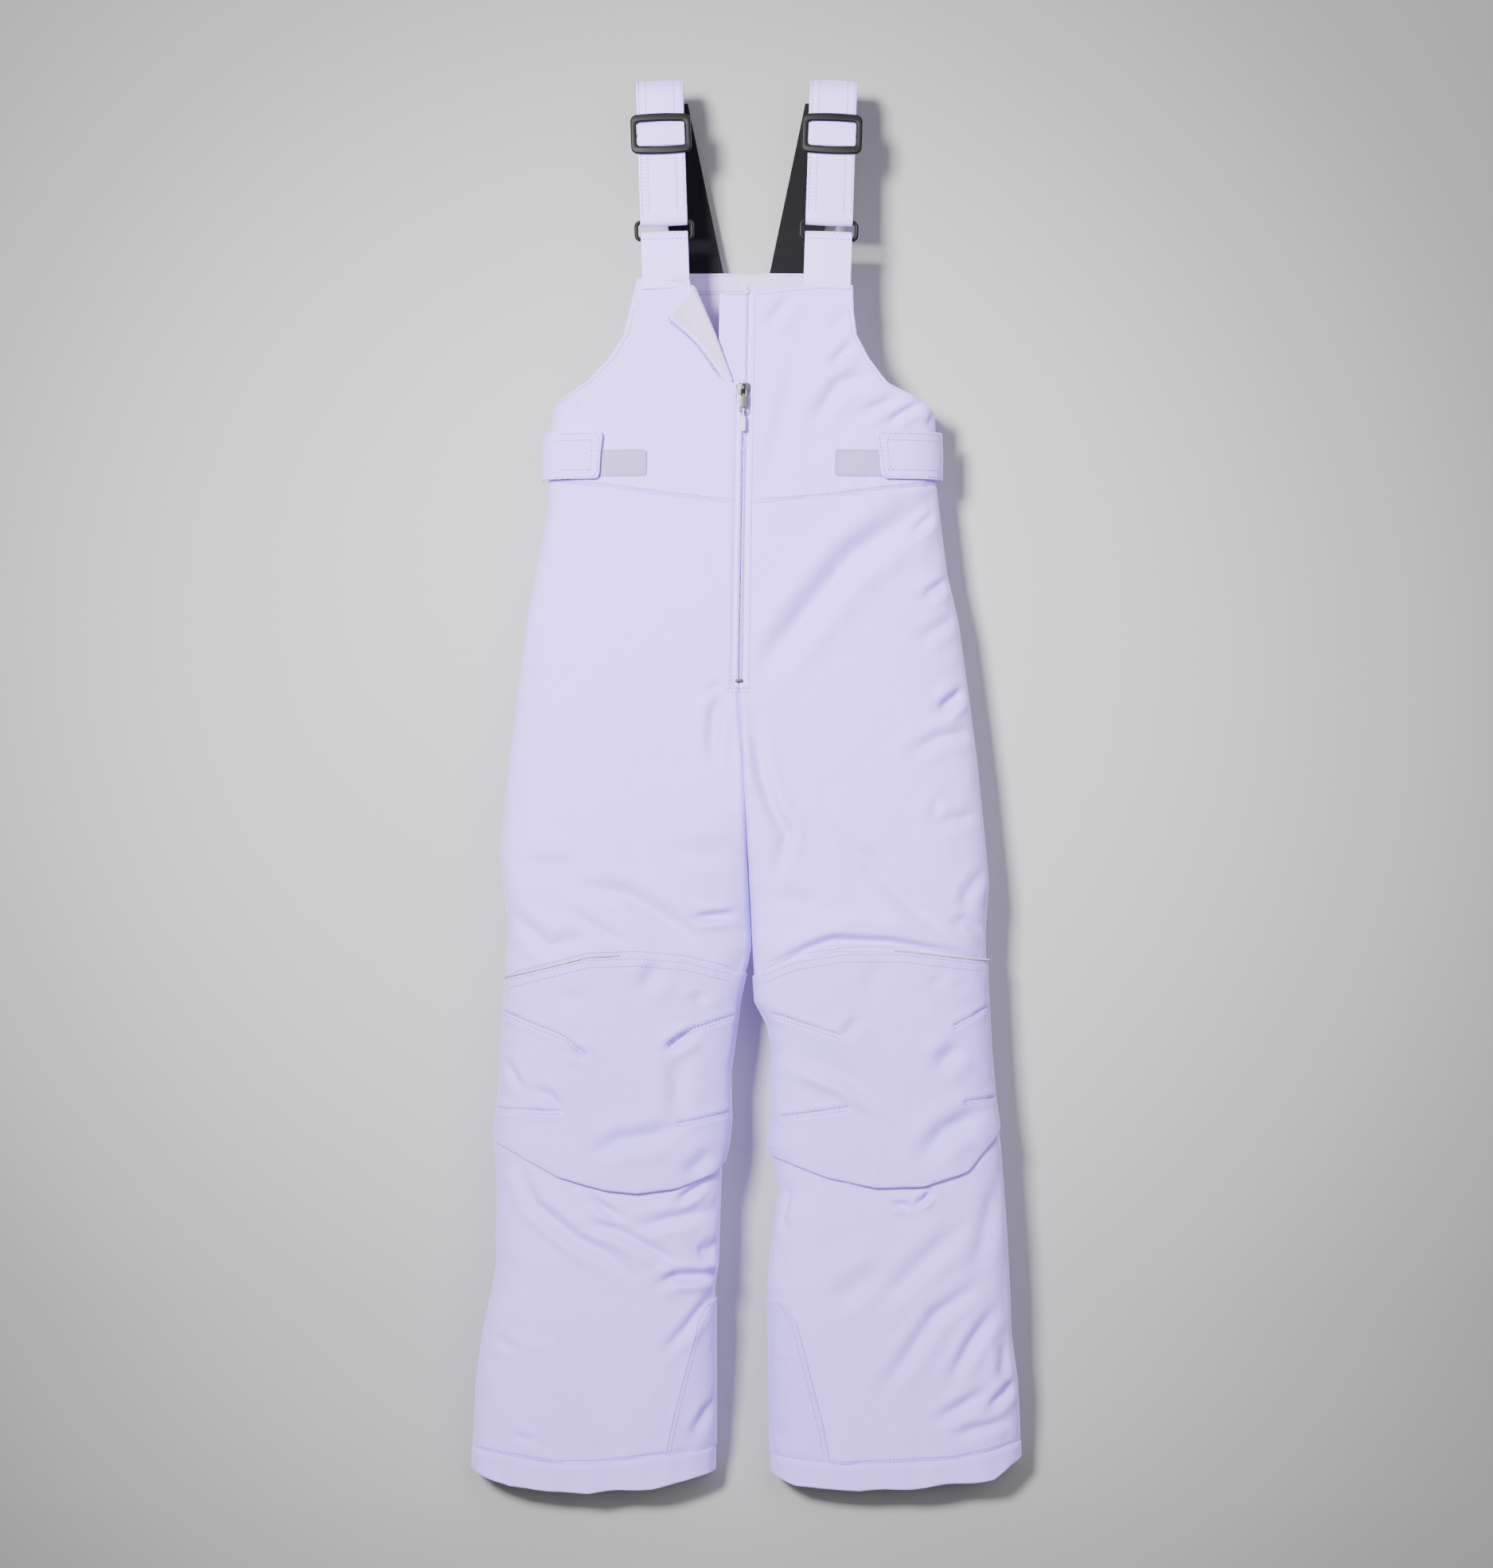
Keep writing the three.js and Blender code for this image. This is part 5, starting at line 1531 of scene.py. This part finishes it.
    def flap(self, shop: Shop) -> None:
        """Flap of shell cloth that lies behind the zip and keeps the wind out."""
        zs = np.linspace(self.top - 1, self.low + 10, 150)
        dx = np.concatenate([[0, 0.4, 1.0], np.linspace(2, 33.5, 20), [34.3, 35]]) - self.flap_reach
        noise = Lattice(77)
        z, d = np.meshgrid(zs, dx, indexing="ij")
        free = smooth((6 - d) / 20) * smooth((z + 262) / 14)
        y = -29.9 + (0.9 * noise.at(z / 26, d / 30) - 0.9) * free
        top = -1.5 * np.sin((d + 21) / 35 * np.pi) * smooth((z + 190) / 12)
        x = FORM.zip_x(z) + d + 0.8 * noise.at(z / 31 + 5, 0.5) * smooth((-12 - d) / 8) * smooth((z + 262) / 14)
        grid = np.stack([x, y, z + top], -1)
        made = shop.sheet("wind_flap_cloth", grid, FRONTWARDS, 1.3, 0.65, SHELL, "wind_flap")
        float(zs[0] - zs[-1]) * MM
        hem = self.line(np.linspace(-180, -262, 40), 3.4 - self.flap_reach, -30.3)
        shop.stitches("wind_flap_stitches", [(hem + [0, -0.5, 0], FRONTWARDS)])
        x = np.linspace(-9.0, 7.0, 16) + float(FORM.zip_x(-501.0))
        foot = [SKIN.at(LEFT, FRONT, x, np.full_like(x, z), 0.4) for z in (-500.2, -503.4)]
        shop.stitches("zip_foot_stitches", foot)

    def build(self, shop: Shop) -> None:
        """Makes the zip."""
        self.tape(shop, "left_zip_ribbon", self.low - 8, self.top, 0.2, 8.2, "left_zip_tape")
        self.tape(shop, "right_zip_ribbon", self.low - 8, self.split, -8.2, -0.2, "right_zip_tape")
        self.teeth(shop, "left_zip_chain", self.low + 1, self.top, 1.45, 0, "left_zip_coil")
        self.teeth(shop, "right_zip_chain", self.low + 1, self.split, -1.45, self.tooth / 2, "right_zip_coil")
        self.stops(shop)
        self.slider(shop)
        self.pull(shop)
        self.flap(shop)


# --- turned-back corner
@dataclass
class Lapel:
    """Top corner of the wearer's-right bib with its run of zip, turned back to show the lining."""

    front: float = -34.0
    roll: float = 3.3
    thick: float = 2.4
    length: float = 88.3
    zip_top: float = -172.5
    zip_side: float = 5.6

    def frame(self) -> tuple[Array, Array, Array]:
        """Foot of the fold, its direction, and the direction across it to the turned-back side."""
        foot = np.array([FOLD_FOOT[0], self.front, FOLD_FOOT[1]])
        fold = np.array([FOLD_HEAD[0] - FOLD_FOOT[0], 0, FOLD_HEAD[1] - FOLD_FOOT[1]])
        fold = fold / np.linalg.norm(fold)
        return foot, fold, np.array([-fold[2], 0, fold[0]])

    def point(self, v: Array, s: Array, depth: float = 0.0) -> Array:
        """A point of the flap.

        Args:
            v: length along the fold from its foot.
            s: run across from the bib's edge, round the roll and over the bib.
            depth: distance behind the flap's visible side.

        Returns:
            Points with a last axis of 3.
        """
        foot, fold, across = self.frame()
        v, s = np.broadcast_arrays(np.asarray(v, float), np.asarray(s, float))
        roll = 0.9 + (self.roll - 0.9) * smooth(v / 55)
        angle = np.clip(s / roll, 0, np.pi)
        over = np.clip(s - np.pi * roll, 0, None)
        lift = 0.8 * (over / 20) + 2.4 * (over / 20) ** 2 + 0.8 * np.sin(v / 11) * smooth((over - 4) / 14)
        radius = roll - depth
        out = -np.sin(angle) * radius + over * 0.985
        y = self.front + 1.9 - roll + np.cos(angle) * radius - lift
        rise = np.array([0, 1.0, 0]) * (y - self.front)[..., None]
        return foot + fold * v[..., None] + across * out[..., None] + rise

    def zip_run(self, v: Array) -> Array:
        """Run across at the flap's zip edge for lengths along the fold."""
        foot, fold, across = self.frame()
        z = np.linspace(FOLD_FOOT[1], self.zip_top, 60)
        edge = np.stack([FORM.zip_x(z) - self.zip_side - foot[0], np.zeros_like(z), z - foot[2]], -1)
        along = edge @ fold
        far = -(edge @ across)
        bend = 1.6 * np.sin(np.clip(v / 73, 0, 1) * np.pi)
        return np.maximum(np.interp(v, along, far) - bend, 0.6)

    def build(self, shop: Shop) -> None:
        """Makes the flap, its tape and its coil."""
        foot, fold, across = self.frame()
        length = self.length
        v = shares(48, length, 1.5) * (length - 3.0) + 3.0
        u = shares(34, 36.0, 1.5)
        closed = np.array([FORM.zip_x(self.zip_top) - self.zip_side - foot[0], 0, self.zip_top - foot[2]])
        top_v, top_s = closed @ fold, -(closed @ across)
        rows, lifts = [], []
        for value in v:
            end = self.zip_run(min(value, top_v)) if value <= top_v else (
                top_s * max(0.04, (length - value) / (length - top_v)))
            s = u * end
            rows.append(self.point(value, s))
            lifts.append(self.point(value, s, 1.0))
        grid = np.array(rows[::-1])
        normal = unit(grid - np.array(lifts[::-1]))
        lining, shell = shop[LINING], shop[SHELL]
        made = slab("lapel_cloth", grid, -normal if normal[10, -5, 1] > 0 else normal, self.thick, [lining, shell],
            edge=1.5)
        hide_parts("lapel")
        tuple(self.point(40.0, 0.0) * MM)
        tuple((self.point(40.0, 0.0) + [0, -4.2, 0]) * MM)
        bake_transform(made)
        zv = np.linspace(7, top_v - 1, 60)
        run_ = self.zip_run(zv)
        tape = np.stack([self.point(zv, run_ + d, 0.9) for d in np.linspace(-3, 3.8, 6)], 1)
        shop.sheet("lapel_zip_ribbon", tape, FRONTWARDS, 0.7, 0.35, SHELL, "lapel_zip_tape",
            WEBBING, body="lapel")
        path = self.point(zv, run_ + 4.7, 0.0) + [0, 0.7, 0]
        chain = shop.rows.make("lapel_zip_chain", [(path, FRONTWARDS)], 1.45, (3.0, 1.0, 2.0), shop[COIL], 90)
        shop.hang(chain, COIL, "lapel_zip_coil", body="lapel")
        place = moved(path[-1])
        stop = stamped("lapel_zip_upper_stop", [rounded(3.2, 3.2, 1.1)], 1.8, 0.5, shop[COIL], place)
        shop.hang(stop, COIL, "lapel_zip_top_stop", body="lapel")
        line = self.point(zv, run_ - 4.2, 0.0) + [0, 0.25, 0]
        hem = self.point(np.linspace(top_v - 1, length - 6, 16), np.linspace(run_[-1] - 4.2, 6.5, 16), 0.0)
        shop.stitches("lapel_stitches", [(line, FRONTWARDS), (hem + [0, 0.25, 0], FRONTWARDS)], "lapel")


# --- shoulder straps
@dataclass
class Strap:
    """One shoulder strap: webbing over the shoulder, root loop, ring, adjuster and back elastic.

    Args:
        side: half of the garment.
        width: width of the webbing.
        thick: its thickness.
        tilt: lean back of its front run, in degrees.
        lean: lean outwards, in degrees.
        arch: radius of its turn over the shoulder.
        ring_z: height of the ring's upper bar in the strap's frame.
        glide_z: height of the adjuster's middle.
    """

    side: Side
    width: float = 38.5
    thick: float = 1.5
    tilt: float = 5.4
    lean: float = 2.0
    arch: float = 20.75
    ring_z: float = 47.7
    glide_z: float = 119.5
    root: tuple[float, float, float] = (66.0, -32.5, -165.0)

    def frame(self) -> Array:
        """The strap's own frame: X across, Z up along it, origin at its root."""
        a, b = math.radians(-self.tilt), math.radians(self.side.value * self.lean)
        rx = np.array([[1, 0, 0], [0, math.cos(a), -math.sin(a)], [0, math.sin(a), math.cos(a)]])
        ry = np.array([[math.cos(b), 0, math.sin(b)], [0, 1, 0], [-math.sin(b), 0, math.cos(b)]])
        out = moved([self.side.value * self.root[0], self.root[1], self.root[2]])
        out[:3, :3] = ry @ rx
        return out

    def world(self, points: Array) -> Array:
        """Points from the strap's frame."""
        return carried(points, self.frame())

    def arch_z(self) -> float:
        """Height of the arch's centre in the strap's frame."""
        t, n = math.radians(self.tilt), math.radians(self.lean)
        return ((165.0 - 20.0) / math.cos(n) + self.arch * math.sin(t)) / math.cos(t)

    def ribbon(self, name: str, path: Array, finish: Finish, shop: Shop, wave: float = 0.25,
        step: float = 1.6, thick: Optional[float] = None, width: Optional[float] = None) -> Piece:
        """Webbing along a path of (y, z) in the strap's frame, its front facing the path's right."""
        width = width or self.width
        bent = dense(path, step)
        for _ in range(2):
            bent[1:-1] = (bent[:-2] + 2 * bent[1:-1] + bent[2:]) / 4
        tangent = unit(np.gradient(bent, axis=0))
        away = np.stack([-tangent[:, 1], tangent[:, 0]], -1)
        u = shares(17, width, 0.8) - 0.5
        noise = Lattice(600 + self.side.value)
        along = np.arange(len(bent))[:, None] * step
        lift = wave * noise.at(along / 24 + 3, u[None] * 1.6 + 4) + 0.12 * np.cos(u[None] * 2 * np.pi)
        grid = np.empty((len(bent), len(u), 3))
        grid[..., 0] = u[None] * width
        grid[..., 1] = bent[:, :1] + away[:, :1] * lift
        grid[..., 2] = bent[:, 1:] + away[:, 1:] * lift
        normal = np.zeros_like(grid)
        normal[..., 1:] = away[:, None]
        thick = thick or self.thick
        outer = self.world(grid + normal * thick / 2)
        direction = (normal.reshape(-1, 3) @ self.frame()[:3, :3].T).reshape(grid.shape)
        return slab(name, outer, direction, thick, [shop[finish]], edge=thick / 2)

    def path(self) -> Array:
        """Webbing from its loop on the ring, up the front and over the shoulder."""
        bar = self.thick / 2 + 3.8
        turn = np.radians(np.linspace(0, -180, 17))
        loop = np.stack([bar + 4.55 * np.cos(turn), self.ring_z + 1.7 + 4.55 * np.sin(turn)], -1)
        over = np.radians(np.linspace(180, 2 * self.tilt, 31))
        top = np.stack([self.arch + self.arch * np.cos(over), self.arch_z() + self.arch * np.sin(over)], -1)
        end = math.radians(2 * self.tilt)
        tail = top[-1] + 8.0 * np.array([math.sin(end), -math.cos(end)])
        return np.concatenate([loop, [[0, self.ring_z + 20], [0, self.glide_z]], top, [tail]])

    def build(self, shop: Shop) -> None:
        """Makes every piece of the strap."""
        n = self.side.label
        webbing = self.ribbon(f"{n}_shoulder_webbing", self.path(), WEBBING, shop)
        shop.hang(webbing, WEBBING, f"{n}_strap")
        self.back_run(shop)
        self.root_loop(shop)
        self.ring(shop)
        self.glide(shop)
        self.elastic(shop)
        self.topstitch(shop)

    def back_run(self, shop: Shop) -> None:
        """Inner run of the webbing, from the ring to the adjuster's bar."""
        n, bar = self.side.label, self.thick / 2 + 3.8
        low = [bar + 4.55, self.ring_z + 2.4]
        high = [self.thick / 2 + 2.6 + 0.6 + 0.3 + self.thick / 2, self.glide_z - 2.4]
        made = self.ribbon(f"{n}_return_webbing", np.array([high, [bar + 3.9, self.ring_z + 16], low]),
            WEBBING, shop, 0.15)
        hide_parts(f"{n}_strap_return")
        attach(made, "garment")
        up = self.frame()[:3, 2]
        anchor = self.world(np.array([0, low[0], low[1]]))
        tuple(up)
        tuple(anchor * MM)
        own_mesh(made)

    def root_loop(self, shop: Shop) -> None:
        """Webbing tab sewn behind the bib's edge, round the ring's lower bar."""
        n, bar, t = self.side.label, self.thick / 2 + 3.8, math.radians(self.tilt)
        centre = np.array([bar + 14.1 * math.sin(t), self.ring_z - 14.1 * math.cos(t)])
        turn = np.radians(np.linspace(180, 0, 17))
        loop = centre + 5.55 * np.stack([np.cos(turn), np.sin(turn)], -1)
        path = np.concatenate([[[0.2, -9.0], [0, 2]], loop, [[self.thick + 1, 1], [self.thick + 0.4, -9]]])
        made = self.ribbon(f"{n}_root_webbing", path, WEBBING, shop, 0.1)
        shop.hang(made, WEBBING, f"{n}_strap_root")

    def ring(self, shop: Shop) -> None:
        """Moulded rectangular ring that hangs from the strap's loop."""
        n, bar = self.side.label, self.thick / 2 + 3.8
        top = self.world(np.array([0, bar, self.ring_z]))
        lean = math.radians(self.side.value * self.lean)
        outline = rounded(49 - 3.4, 14.1, 3.6, steps=9)
        outline = outline - [0, 7.05]
        points = np.stack([outline[:, 0] * math.cos(lean) + outline[:, 1] * math.sin(lean),
                np.zeros(len(outline)),
                -outline[:, 0] * math.sin(lean) + outline[:, 1] * math.cos(lean)], -1) + top
        made = tube(f"{n}_moulded_ring", points, 1.7, shop[RESIN], True, 5)
        shop.hang(made, RESIN, f"{n}_strap_ring", body=f"{n}_ring")

    def glide(self, shop: Shop) -> None:
        """Three-bar adjuster, slightly bowed, with the webbing drawn through it."""
        n, resin = self.side.label, shop[RESIN]
        face = -self.thick / 2 - 0.4
        place = self.frame() @ moved((0, face - 1.75, self.glide_z))
        rim = rounded(49.5, 31.5, 5.0, 1.3)
        window = rounded(40.0, 20.0, 3.2, 0.5)
        parts = [stamped("frame", [rim, window[::-1]], 3.5, 1.35, resin, place)]
        for sign in (-1, 1):
            cheek = np.array([[sign * 22.4, face - 1.8, self.glide_z + dz] for dz in (-5, 5)])
            back = cheek + [0, 5.2, 0]
            loop = np.concatenate([dense(cheek, 1), dense(back[::-1], 1)])
            parts.append(tube("cheek", self.world(loop), 1.9, resin, True))
        bar = np.stack([np.linspace(-22, 22, 12), np.full(12, self.thick / 2 + 1.9), np.full(12, self.glide_z)], -1)
        parts.append(tube("bar", self.world(bar), 1.3, resin))
        made = joined(f"{n}_adjuster", parts)
        shop.hang(made, RESIN, f"{n}_tri_glide", body=f"{n}_glide")
        z0, z1 = self.glide_z - 9.6, self.glide_z + 9.4
        zs = np.linspace(z1, z0, 40)
        hump = lambda z: (1.6 * np.exp(-(((z - self.glide_z - 3.5) / 3.2) ** 2))
            + 1.1 * np.exp(-(((z - self.glide_z + 4.2) / 2.6) ** 2)))
        path = np.stack([np.full_like(zs, -self.thick / 2 - 0.95) - hump(zs), zs], -1)
        made = self.ribbon(f"{n}_gathered_webbing", path[::-1], WEBBING, shop, 0.5, 0.7, 1.2, 38.8)
        shop.hang(made, WEBBING, body=f"{n}_glide")

    def elastic(self, shop: Shop) -> None:
        """Ribbed elastic from the end of the webbing down to the back bib."""
        n = self.side.label
        y, z = self.path()[-1]
        top = self.world(np.array([-self.side.value * 3.5, y + 0.9, z + 12]))
        low = np.array([self.side.value * 36.5, 30.2, -162.0])
        rows = int(np.linalg.norm(top - low) / 0.33)
        v, u = np.linspace(0, 1, rows)[:, None], shares(15, 38.0, 0.8)[None]
        noise = Lattice(640 + self.side.value)
        grid = np.empty((rows, u.shape[1], 3))
        across = (u - 0.5) * 38.0
        mid = top[None, None] * (1 - v[..., None]) + low[None, None] * v[..., None]
        grid[:] = mid
        grid[..., 0] += across
        grid[..., 2] -= self.side.value * across * math.tan(math.radians(self.lean)) * (1 - v)
        rib = 0.1 * np.sin(v * rows * 0.33 / 1.35 * 2 * np.pi)
        bend = 0.8 * noise.at(v * 5, u * 1.2) + 1.2 * np.sin(v * np.pi)
        grid[..., 1] += rib + bend
        shop.sheet(f"{n}_back_webbing_elastic", grid, -FRONTWARDS, 1.6, 0.8, ELASTIC, f"{n}_back_elastic")

    def topstitch(self, shop: Shop) -> None:
        """Lines sewn along the webbing's edges and across its root."""
        front = self.frame()[:3, :3] @ np.array([0, -1.0, 0])
        rows = []
        for x in (-17.4, -11.6, 11.6, 17.4):
            z = np.linspace(self.ring_z + 7, self.arch_z(), 60)
            rows.append((self.world(np.stack([np.full_like(z, x), np.full_like(z, -0.95), z], -1)), front))
            over = np.radians(np.linspace(180, 90, 16))
            arc = np.stack([np.full_like(over, x), self.arch + (self.arch + 0.95) * np.cos(over),
                    self.arch_z() + (self.arch + 0.95) * np.sin(over)], -1)
            lift = np.stack([np.zeros_like(over), np.cos(over), np.sin(over)], -1) @ self.frame()[:3, :3].T
            rows.append((self.world(arc), lift))
        x = np.linspace(-17, 17, 20)
        rows.append((self.world(np.stack([x, np.full_like(x, -0.95), np.full_like(x, 32.5)], -1)), front))
        shop.stitches(f"{self.side.label}_strap_stitches", rows)


# --- waist and back
def rounding(radius: float, d: Array) -> Array:
    """How far a corner of a radius stands back at distances from its edge."""
    return radius - np.sqrt(np.clip(radius**2 - (radius - d) ** 2, 0, None))


@dataclass
class Waist:
    """Waist tabs with their hook and loop patches, and the back's facing and elastic."""

    tab: tuple[float, float] = (-290.0, -329.0)
    patch: tuple[float, float] = (-305.0, -327.0)
    patch_x: dict[Side, tuple[float, float]] = field(
        default_factory=lambda: {RIGHT: (81.5, 140.0), LEFT: (72.0, 140.0)}
    )
    tab_thick: float = 2.4
    middle: float = -309.5
    calm: float = 0.45

    def layer(self, side: Side, start: Rule, end: float, heights: tuple[float, float],
        proud: float, columns: int = 44, rows: int = 22) -> tuple[Array, Array]:
        """A grid on the front of the waist, from a shaped free end to a distance from the middle."""
        high, low = heights
        z = high + (low - high) * shares(rows, high - low, 1.2)
        u = shares(columns, 52.0, 1.2)
        outer = FORM.outer(side, self.middle)
        grid_z = np.broadcast_to(z[:, None], (len(z), len(u)))
        first = start(z)[:, None]
        s0, s1 = first / outer, min(end, outer) / outer
        theta = np.arcsin(np.clip(s0, 0, 1)) * (1 - u) + math.asin(min(s1, 1.0)) * u
        own = np.sin(theta) * FORM.outer(side, grid_z)
        return self.on(side, own, grid_z, proud)

    def on(self, side: Side, own: Array, z: Array, proud: float) -> tuple[Array, Array]:
        """Points above the front of the waist, and their directions."""
        return SKIN.at(side, FRONT, own, z, proud, calm=self.calm)

    def free_end(self, side: Side, dx: float = 0.0) -> Rule:
        """Rounded, slightly slanted free end of a tab."""
        high, low = self.tab
        base = (117.4 if side is RIGHT else 104.8) + dx

        def start(z: Array) -> Array:
            r = max(4.2 - dx * 0.4, 1.0)
            d = np.minimum(high - z - dx, z - low - dx)
            d = np.clip(d, 0, r)
            slant = (high - z) / (high - low) * (2.2 if side is RIGHT else 5.6)
            return base + slant + rounding(r, d)

        return start

    def corner(self, z: Array, x0: float, radius: float = 3.2) -> Array:
        """Inner end of a patch with rounded corners."""
        d = np.clip(np.minimum(self.patch[0] - z, z - self.patch[1]), 0, radius)
        return x0 + rounding(radius, d)

    def side_pieces(self, shop: Shop, side: Side) -> None:
        """The tab and patches of one side."""
        n = side.label
        reach = float(FORM.outer(side, self.middle))
        x0, x1 = self.patch_x[side]
        loop, normal = self.layer(side, lambda z: self.corner(z, x0), x1, self.patch, 1.3)
        shop.sheet(f"{n}_loop_tape", loop, normal, 1.4, 0.6, PILE, f"{n}_loop_patch")
        hook, normal = self.layer(side, lambda z: np.full_like(z, 122.0), x1, self.patch, 2.6)
        shop.sheet(f"{n}_hook_tape", hook, normal, 1.1, 0.5, PILE, f"{n}_hook_patch", body=f"{n}_tab")
        tab, normal = self.layer(side, self.free_end(side), reach, self.tab, 5.6)
        made = shop.sheet(f"{n}_waist_tab_cloth", tab, normal, self.tab_thick, 1.2, SHELL,
            f"{n}_waist_tab", body=f"{n}_tab")
        rows = []
        for inset in (2.0, 7.4):
            z = np.linspace(self.tab[0] - inset, self.tab[1] + inset, 40)
            own = self.free_end(side, inset)(z)
            rows.append(self.on(side, own, z, 5.9))
            for edge in (z[0], z[-1]):
                x = np.linspace(own[0] + 0.5, 152, 30)
                rows.append(self.on(side, x, np.full_like(x, edge), 5.9))
        shop.stitches(f"{n}_tab_stitches", rows, f"{n}_tab")
        frame = []
        for z in (self.patch[0] - 1.6, self.patch[1] + 1.6):
            x = np.linspace(x0 + 1.6, 112, 20)
            frame.append(self.on(side, x, np.full_like(x, z), 1.5))
        z = np.linspace(self.patch[0] - 1.6, self.patch[1] + 1.6, 12)
        frame.append(self.on(side, np.full_like(z, x0 + 1.6), z, 1.5))
        shop.stitches(f"{n}_loop_tape_stitches", frame)

    def back_trim(self, shop: Shop) -> None:
        """Facing inside the top of the back bib, and the waist elastic behind its lining."""
        x = np.linspace(-80, 80, 110)
        z = np.linspace(-156.5, -172, 12)
        grid = np.empty((len(z), len(x), 3))
        for i, height in enumerate(z):
            for side in Side:
                pick = x * side.value >= 0
                grid[i, pick] = SKIN.at(side, BACK, np.abs(x[pick]), height, -4.2)[0]
        shop.sheet("back_bib_facing", grid, FRONTWARDS, 1.2, 0.6, LINING, "back_facing")
        line = grid[-3] - [0, 0.3, 0]
        shop.stitches("back_facing_stitches", [(line, FRONTWARDS)])
        rows = np.linspace(-317, -339, 68)
        x = np.linspace(-104, 104, 150)
        band = np.empty((len(rows), len(x), 3))
        for side in Side:
            pick = x * side.value >= 0
            band[:, pick] = SKIN.at(side, BACK, np.abs(x[pick])[None], rows[:, None], -4.2, calm=0.3)[0]
        band[..., 1] += 0.25 * np.sin(rows / 1.35 * 2 * np.pi)[:, None]
        shop.sheet("back_waist_ribbed_elastic", band, FRONTWARDS, 1.8, 0.8, ELASTIC, "back_waist_elastic")

    def build(self, shop: Shop) -> None:
        """Makes the waist pieces."""
        for side in Side:
            self.side_pieces(shop, side)
        self.back_trim(shop)


# --- studio
@dataclass
class Studio:
    """Pale wall close behind the garment, floor, soft lights and the camera."""

    wall_y: float = 0.048
    floor_z: float = -1.36
    distance: float = 3.466
    middle: tuple[float, float] = (0.0, -0.5785)
    frame_width: float = 1.2194

    def paper(self) -> Material:
        """Pale grey paper that is seen from its front only and lets light through from behind; its colour is
        painted darker away from the middle, a painted vignette of light falloff.
        """
        mat, tree, skin = bare("backdrop_paper")
        where = put(tree, "ShaderNodeTexCoord").outputs["Object"]
        # painted shade: the paper's colour darkens with distance from the middle, standing in for light falling off
        # towards the corners
        middle = put(tree, "ShaderNodeVectorMath", {0: where, 1: (-0.05, 0.0, -0.62)}, operation="DISTANCE")
        fall = put(tree, "ShaderNodeMapRange", {"Value": middle.outputs["Value"], "From Min": 0.25,
                "From Max": 0.95}, interpolation_type="SMOOTHSTEP")
        mix = put(tree, "ShaderNodeMix", {"Factor": fall, 6: colour("#a3a3a3"),
                7: colour("#747474")}, data_type="RGBA")
        feed(tree, skin, {"Base Color": mix.outputs[2], "Roughness": 0.95, "Specular IOR Level": 0.1})
        behind = put(tree, "ShaderNodeNewGeometry").outputs["Backfacing"]
        shadow = put(tree, "ShaderNodeLightPath").outputs["Is Shadow Ray"]
        clear = put(tree, "ShaderNodeMath", {0: behind, 1: shadow}, operation="MAXIMUM")
        glass = put(tree, "ShaderNodeBsdfTransparent")
        both = put(tree, "ShaderNodeMixShader", {0: clear, 1: skin, 2: glass})
        feed(tree, tree.nodes["Material Output"], {"Surface": both})
        return mat

    def sweep(self) -> None:
        """Wall that curves into the floor."""
        turn = np.linspace(0, np.pi / 2, 14)
        radius = 0.35
        arc = np.stack([self.wall_y - radius + radius * np.cos(turn),
            self.floor_z + radius - radius * np.sin(turn)], -1)
        profile = np.concatenate([[[self.wall_y, 3.2]], arc, [[-6.0, self.floor_z]]])
        xs = np.linspace(-4.5, 4.5, 3)
        grid = np.array([[[x, y, z] for x in xs] for y, z in profile]) / MM
        faces = grid_faces(len(profile), len(xs))
        wall = mesh_object("backdrop", grid.reshape(-1, 3), faces, finishes=[self.paper()])
        if wall.data.polygons[0].normal.y > 0:
            wall.data.flip_normals()

    def light(self, name: str, place: tuple[float, float, float], size: float, power: float,
        aim: tuple[float, float, float] = (0, 0, -0.6), spread: float = 180.0) -> None:
        """A square soft light, its beam narrowed by a grid to the spread in degrees."""
        data = bpy.data.lights.new(name, "AREA")
        data.shape, data.size, data.energy = "SQUARE", size, power
        data.spread = math.radians(spread)
        lamp = linked(name, data)
        lamp.location = place
        lamp.rotation_euler = (Vector(aim) - Vector(place)).to_track_quat("-Z", "Y").to_euler()

    def camera(self) -> None:
        """A long lens square to the garment's front."""
        data = bpy.data.cameras.new("camera")
        data.sensor_fit, data.sensor_width = "HORIZONTAL", 36.0
        data.lens = 36.0 * self.distance / self.frame_width
        data.clip_end = 50.0
        camera = linked("camera", data)
        camera.location = (self.middle[0], -0.034 - self.distance, self.middle[1])
        camera.rotation_euler = (math.pi / 2, 0, 0)
        bpy.context.scene.camera = camera

    def build(self) -> None:
        """Sets up the stage."""
        self.sweep()
        self.light("key", (-1.05, -2.75, 0.32), 0.55, 43.0, aim=(0, 0, -0.25), spread=64.0)
        self.light("fill", (1.6, -3.9, 0.6), 2.6, 62.0)
        self.light("low_fill", (0.7, -3.4, -1.1), 2.4, 30.0)
        self.light("back_key", (1.8, 2.6, 1.2), 1.8, 150.0)
        self.light("back_fill", (-2.2, 2.6, -0.2), 2.4, 70.0)
        world = bpy.data.worlds.new("studio_air")
        world.use_nodes = True
        air = world.node_tree
        feed(air, air.nodes["Background"], {"Color": colour("#d2d3d6"), "Strength": 0.6})
        bpy.context.scene.world = world
        self.camera()


def main() -> None:
    """Builds the garment round the frame, then the studio."""
    logging.basicConfig(level=logging.INFO, format="%(name)s: %(message)s")
    for obj in list(bpy.data.objects):
        bpy.data.objects.remove(obj)
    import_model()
    shop = Shop()
    Trousers().build(shop)
    Hems().build(shop)
    Zip().build(shop)
    Lapel().build(shop)
    for side in Side:
        Strap(side).build(shop)
    Waist().build(shop)
    Studio().build()


if __name__ == "__main__":
    main()
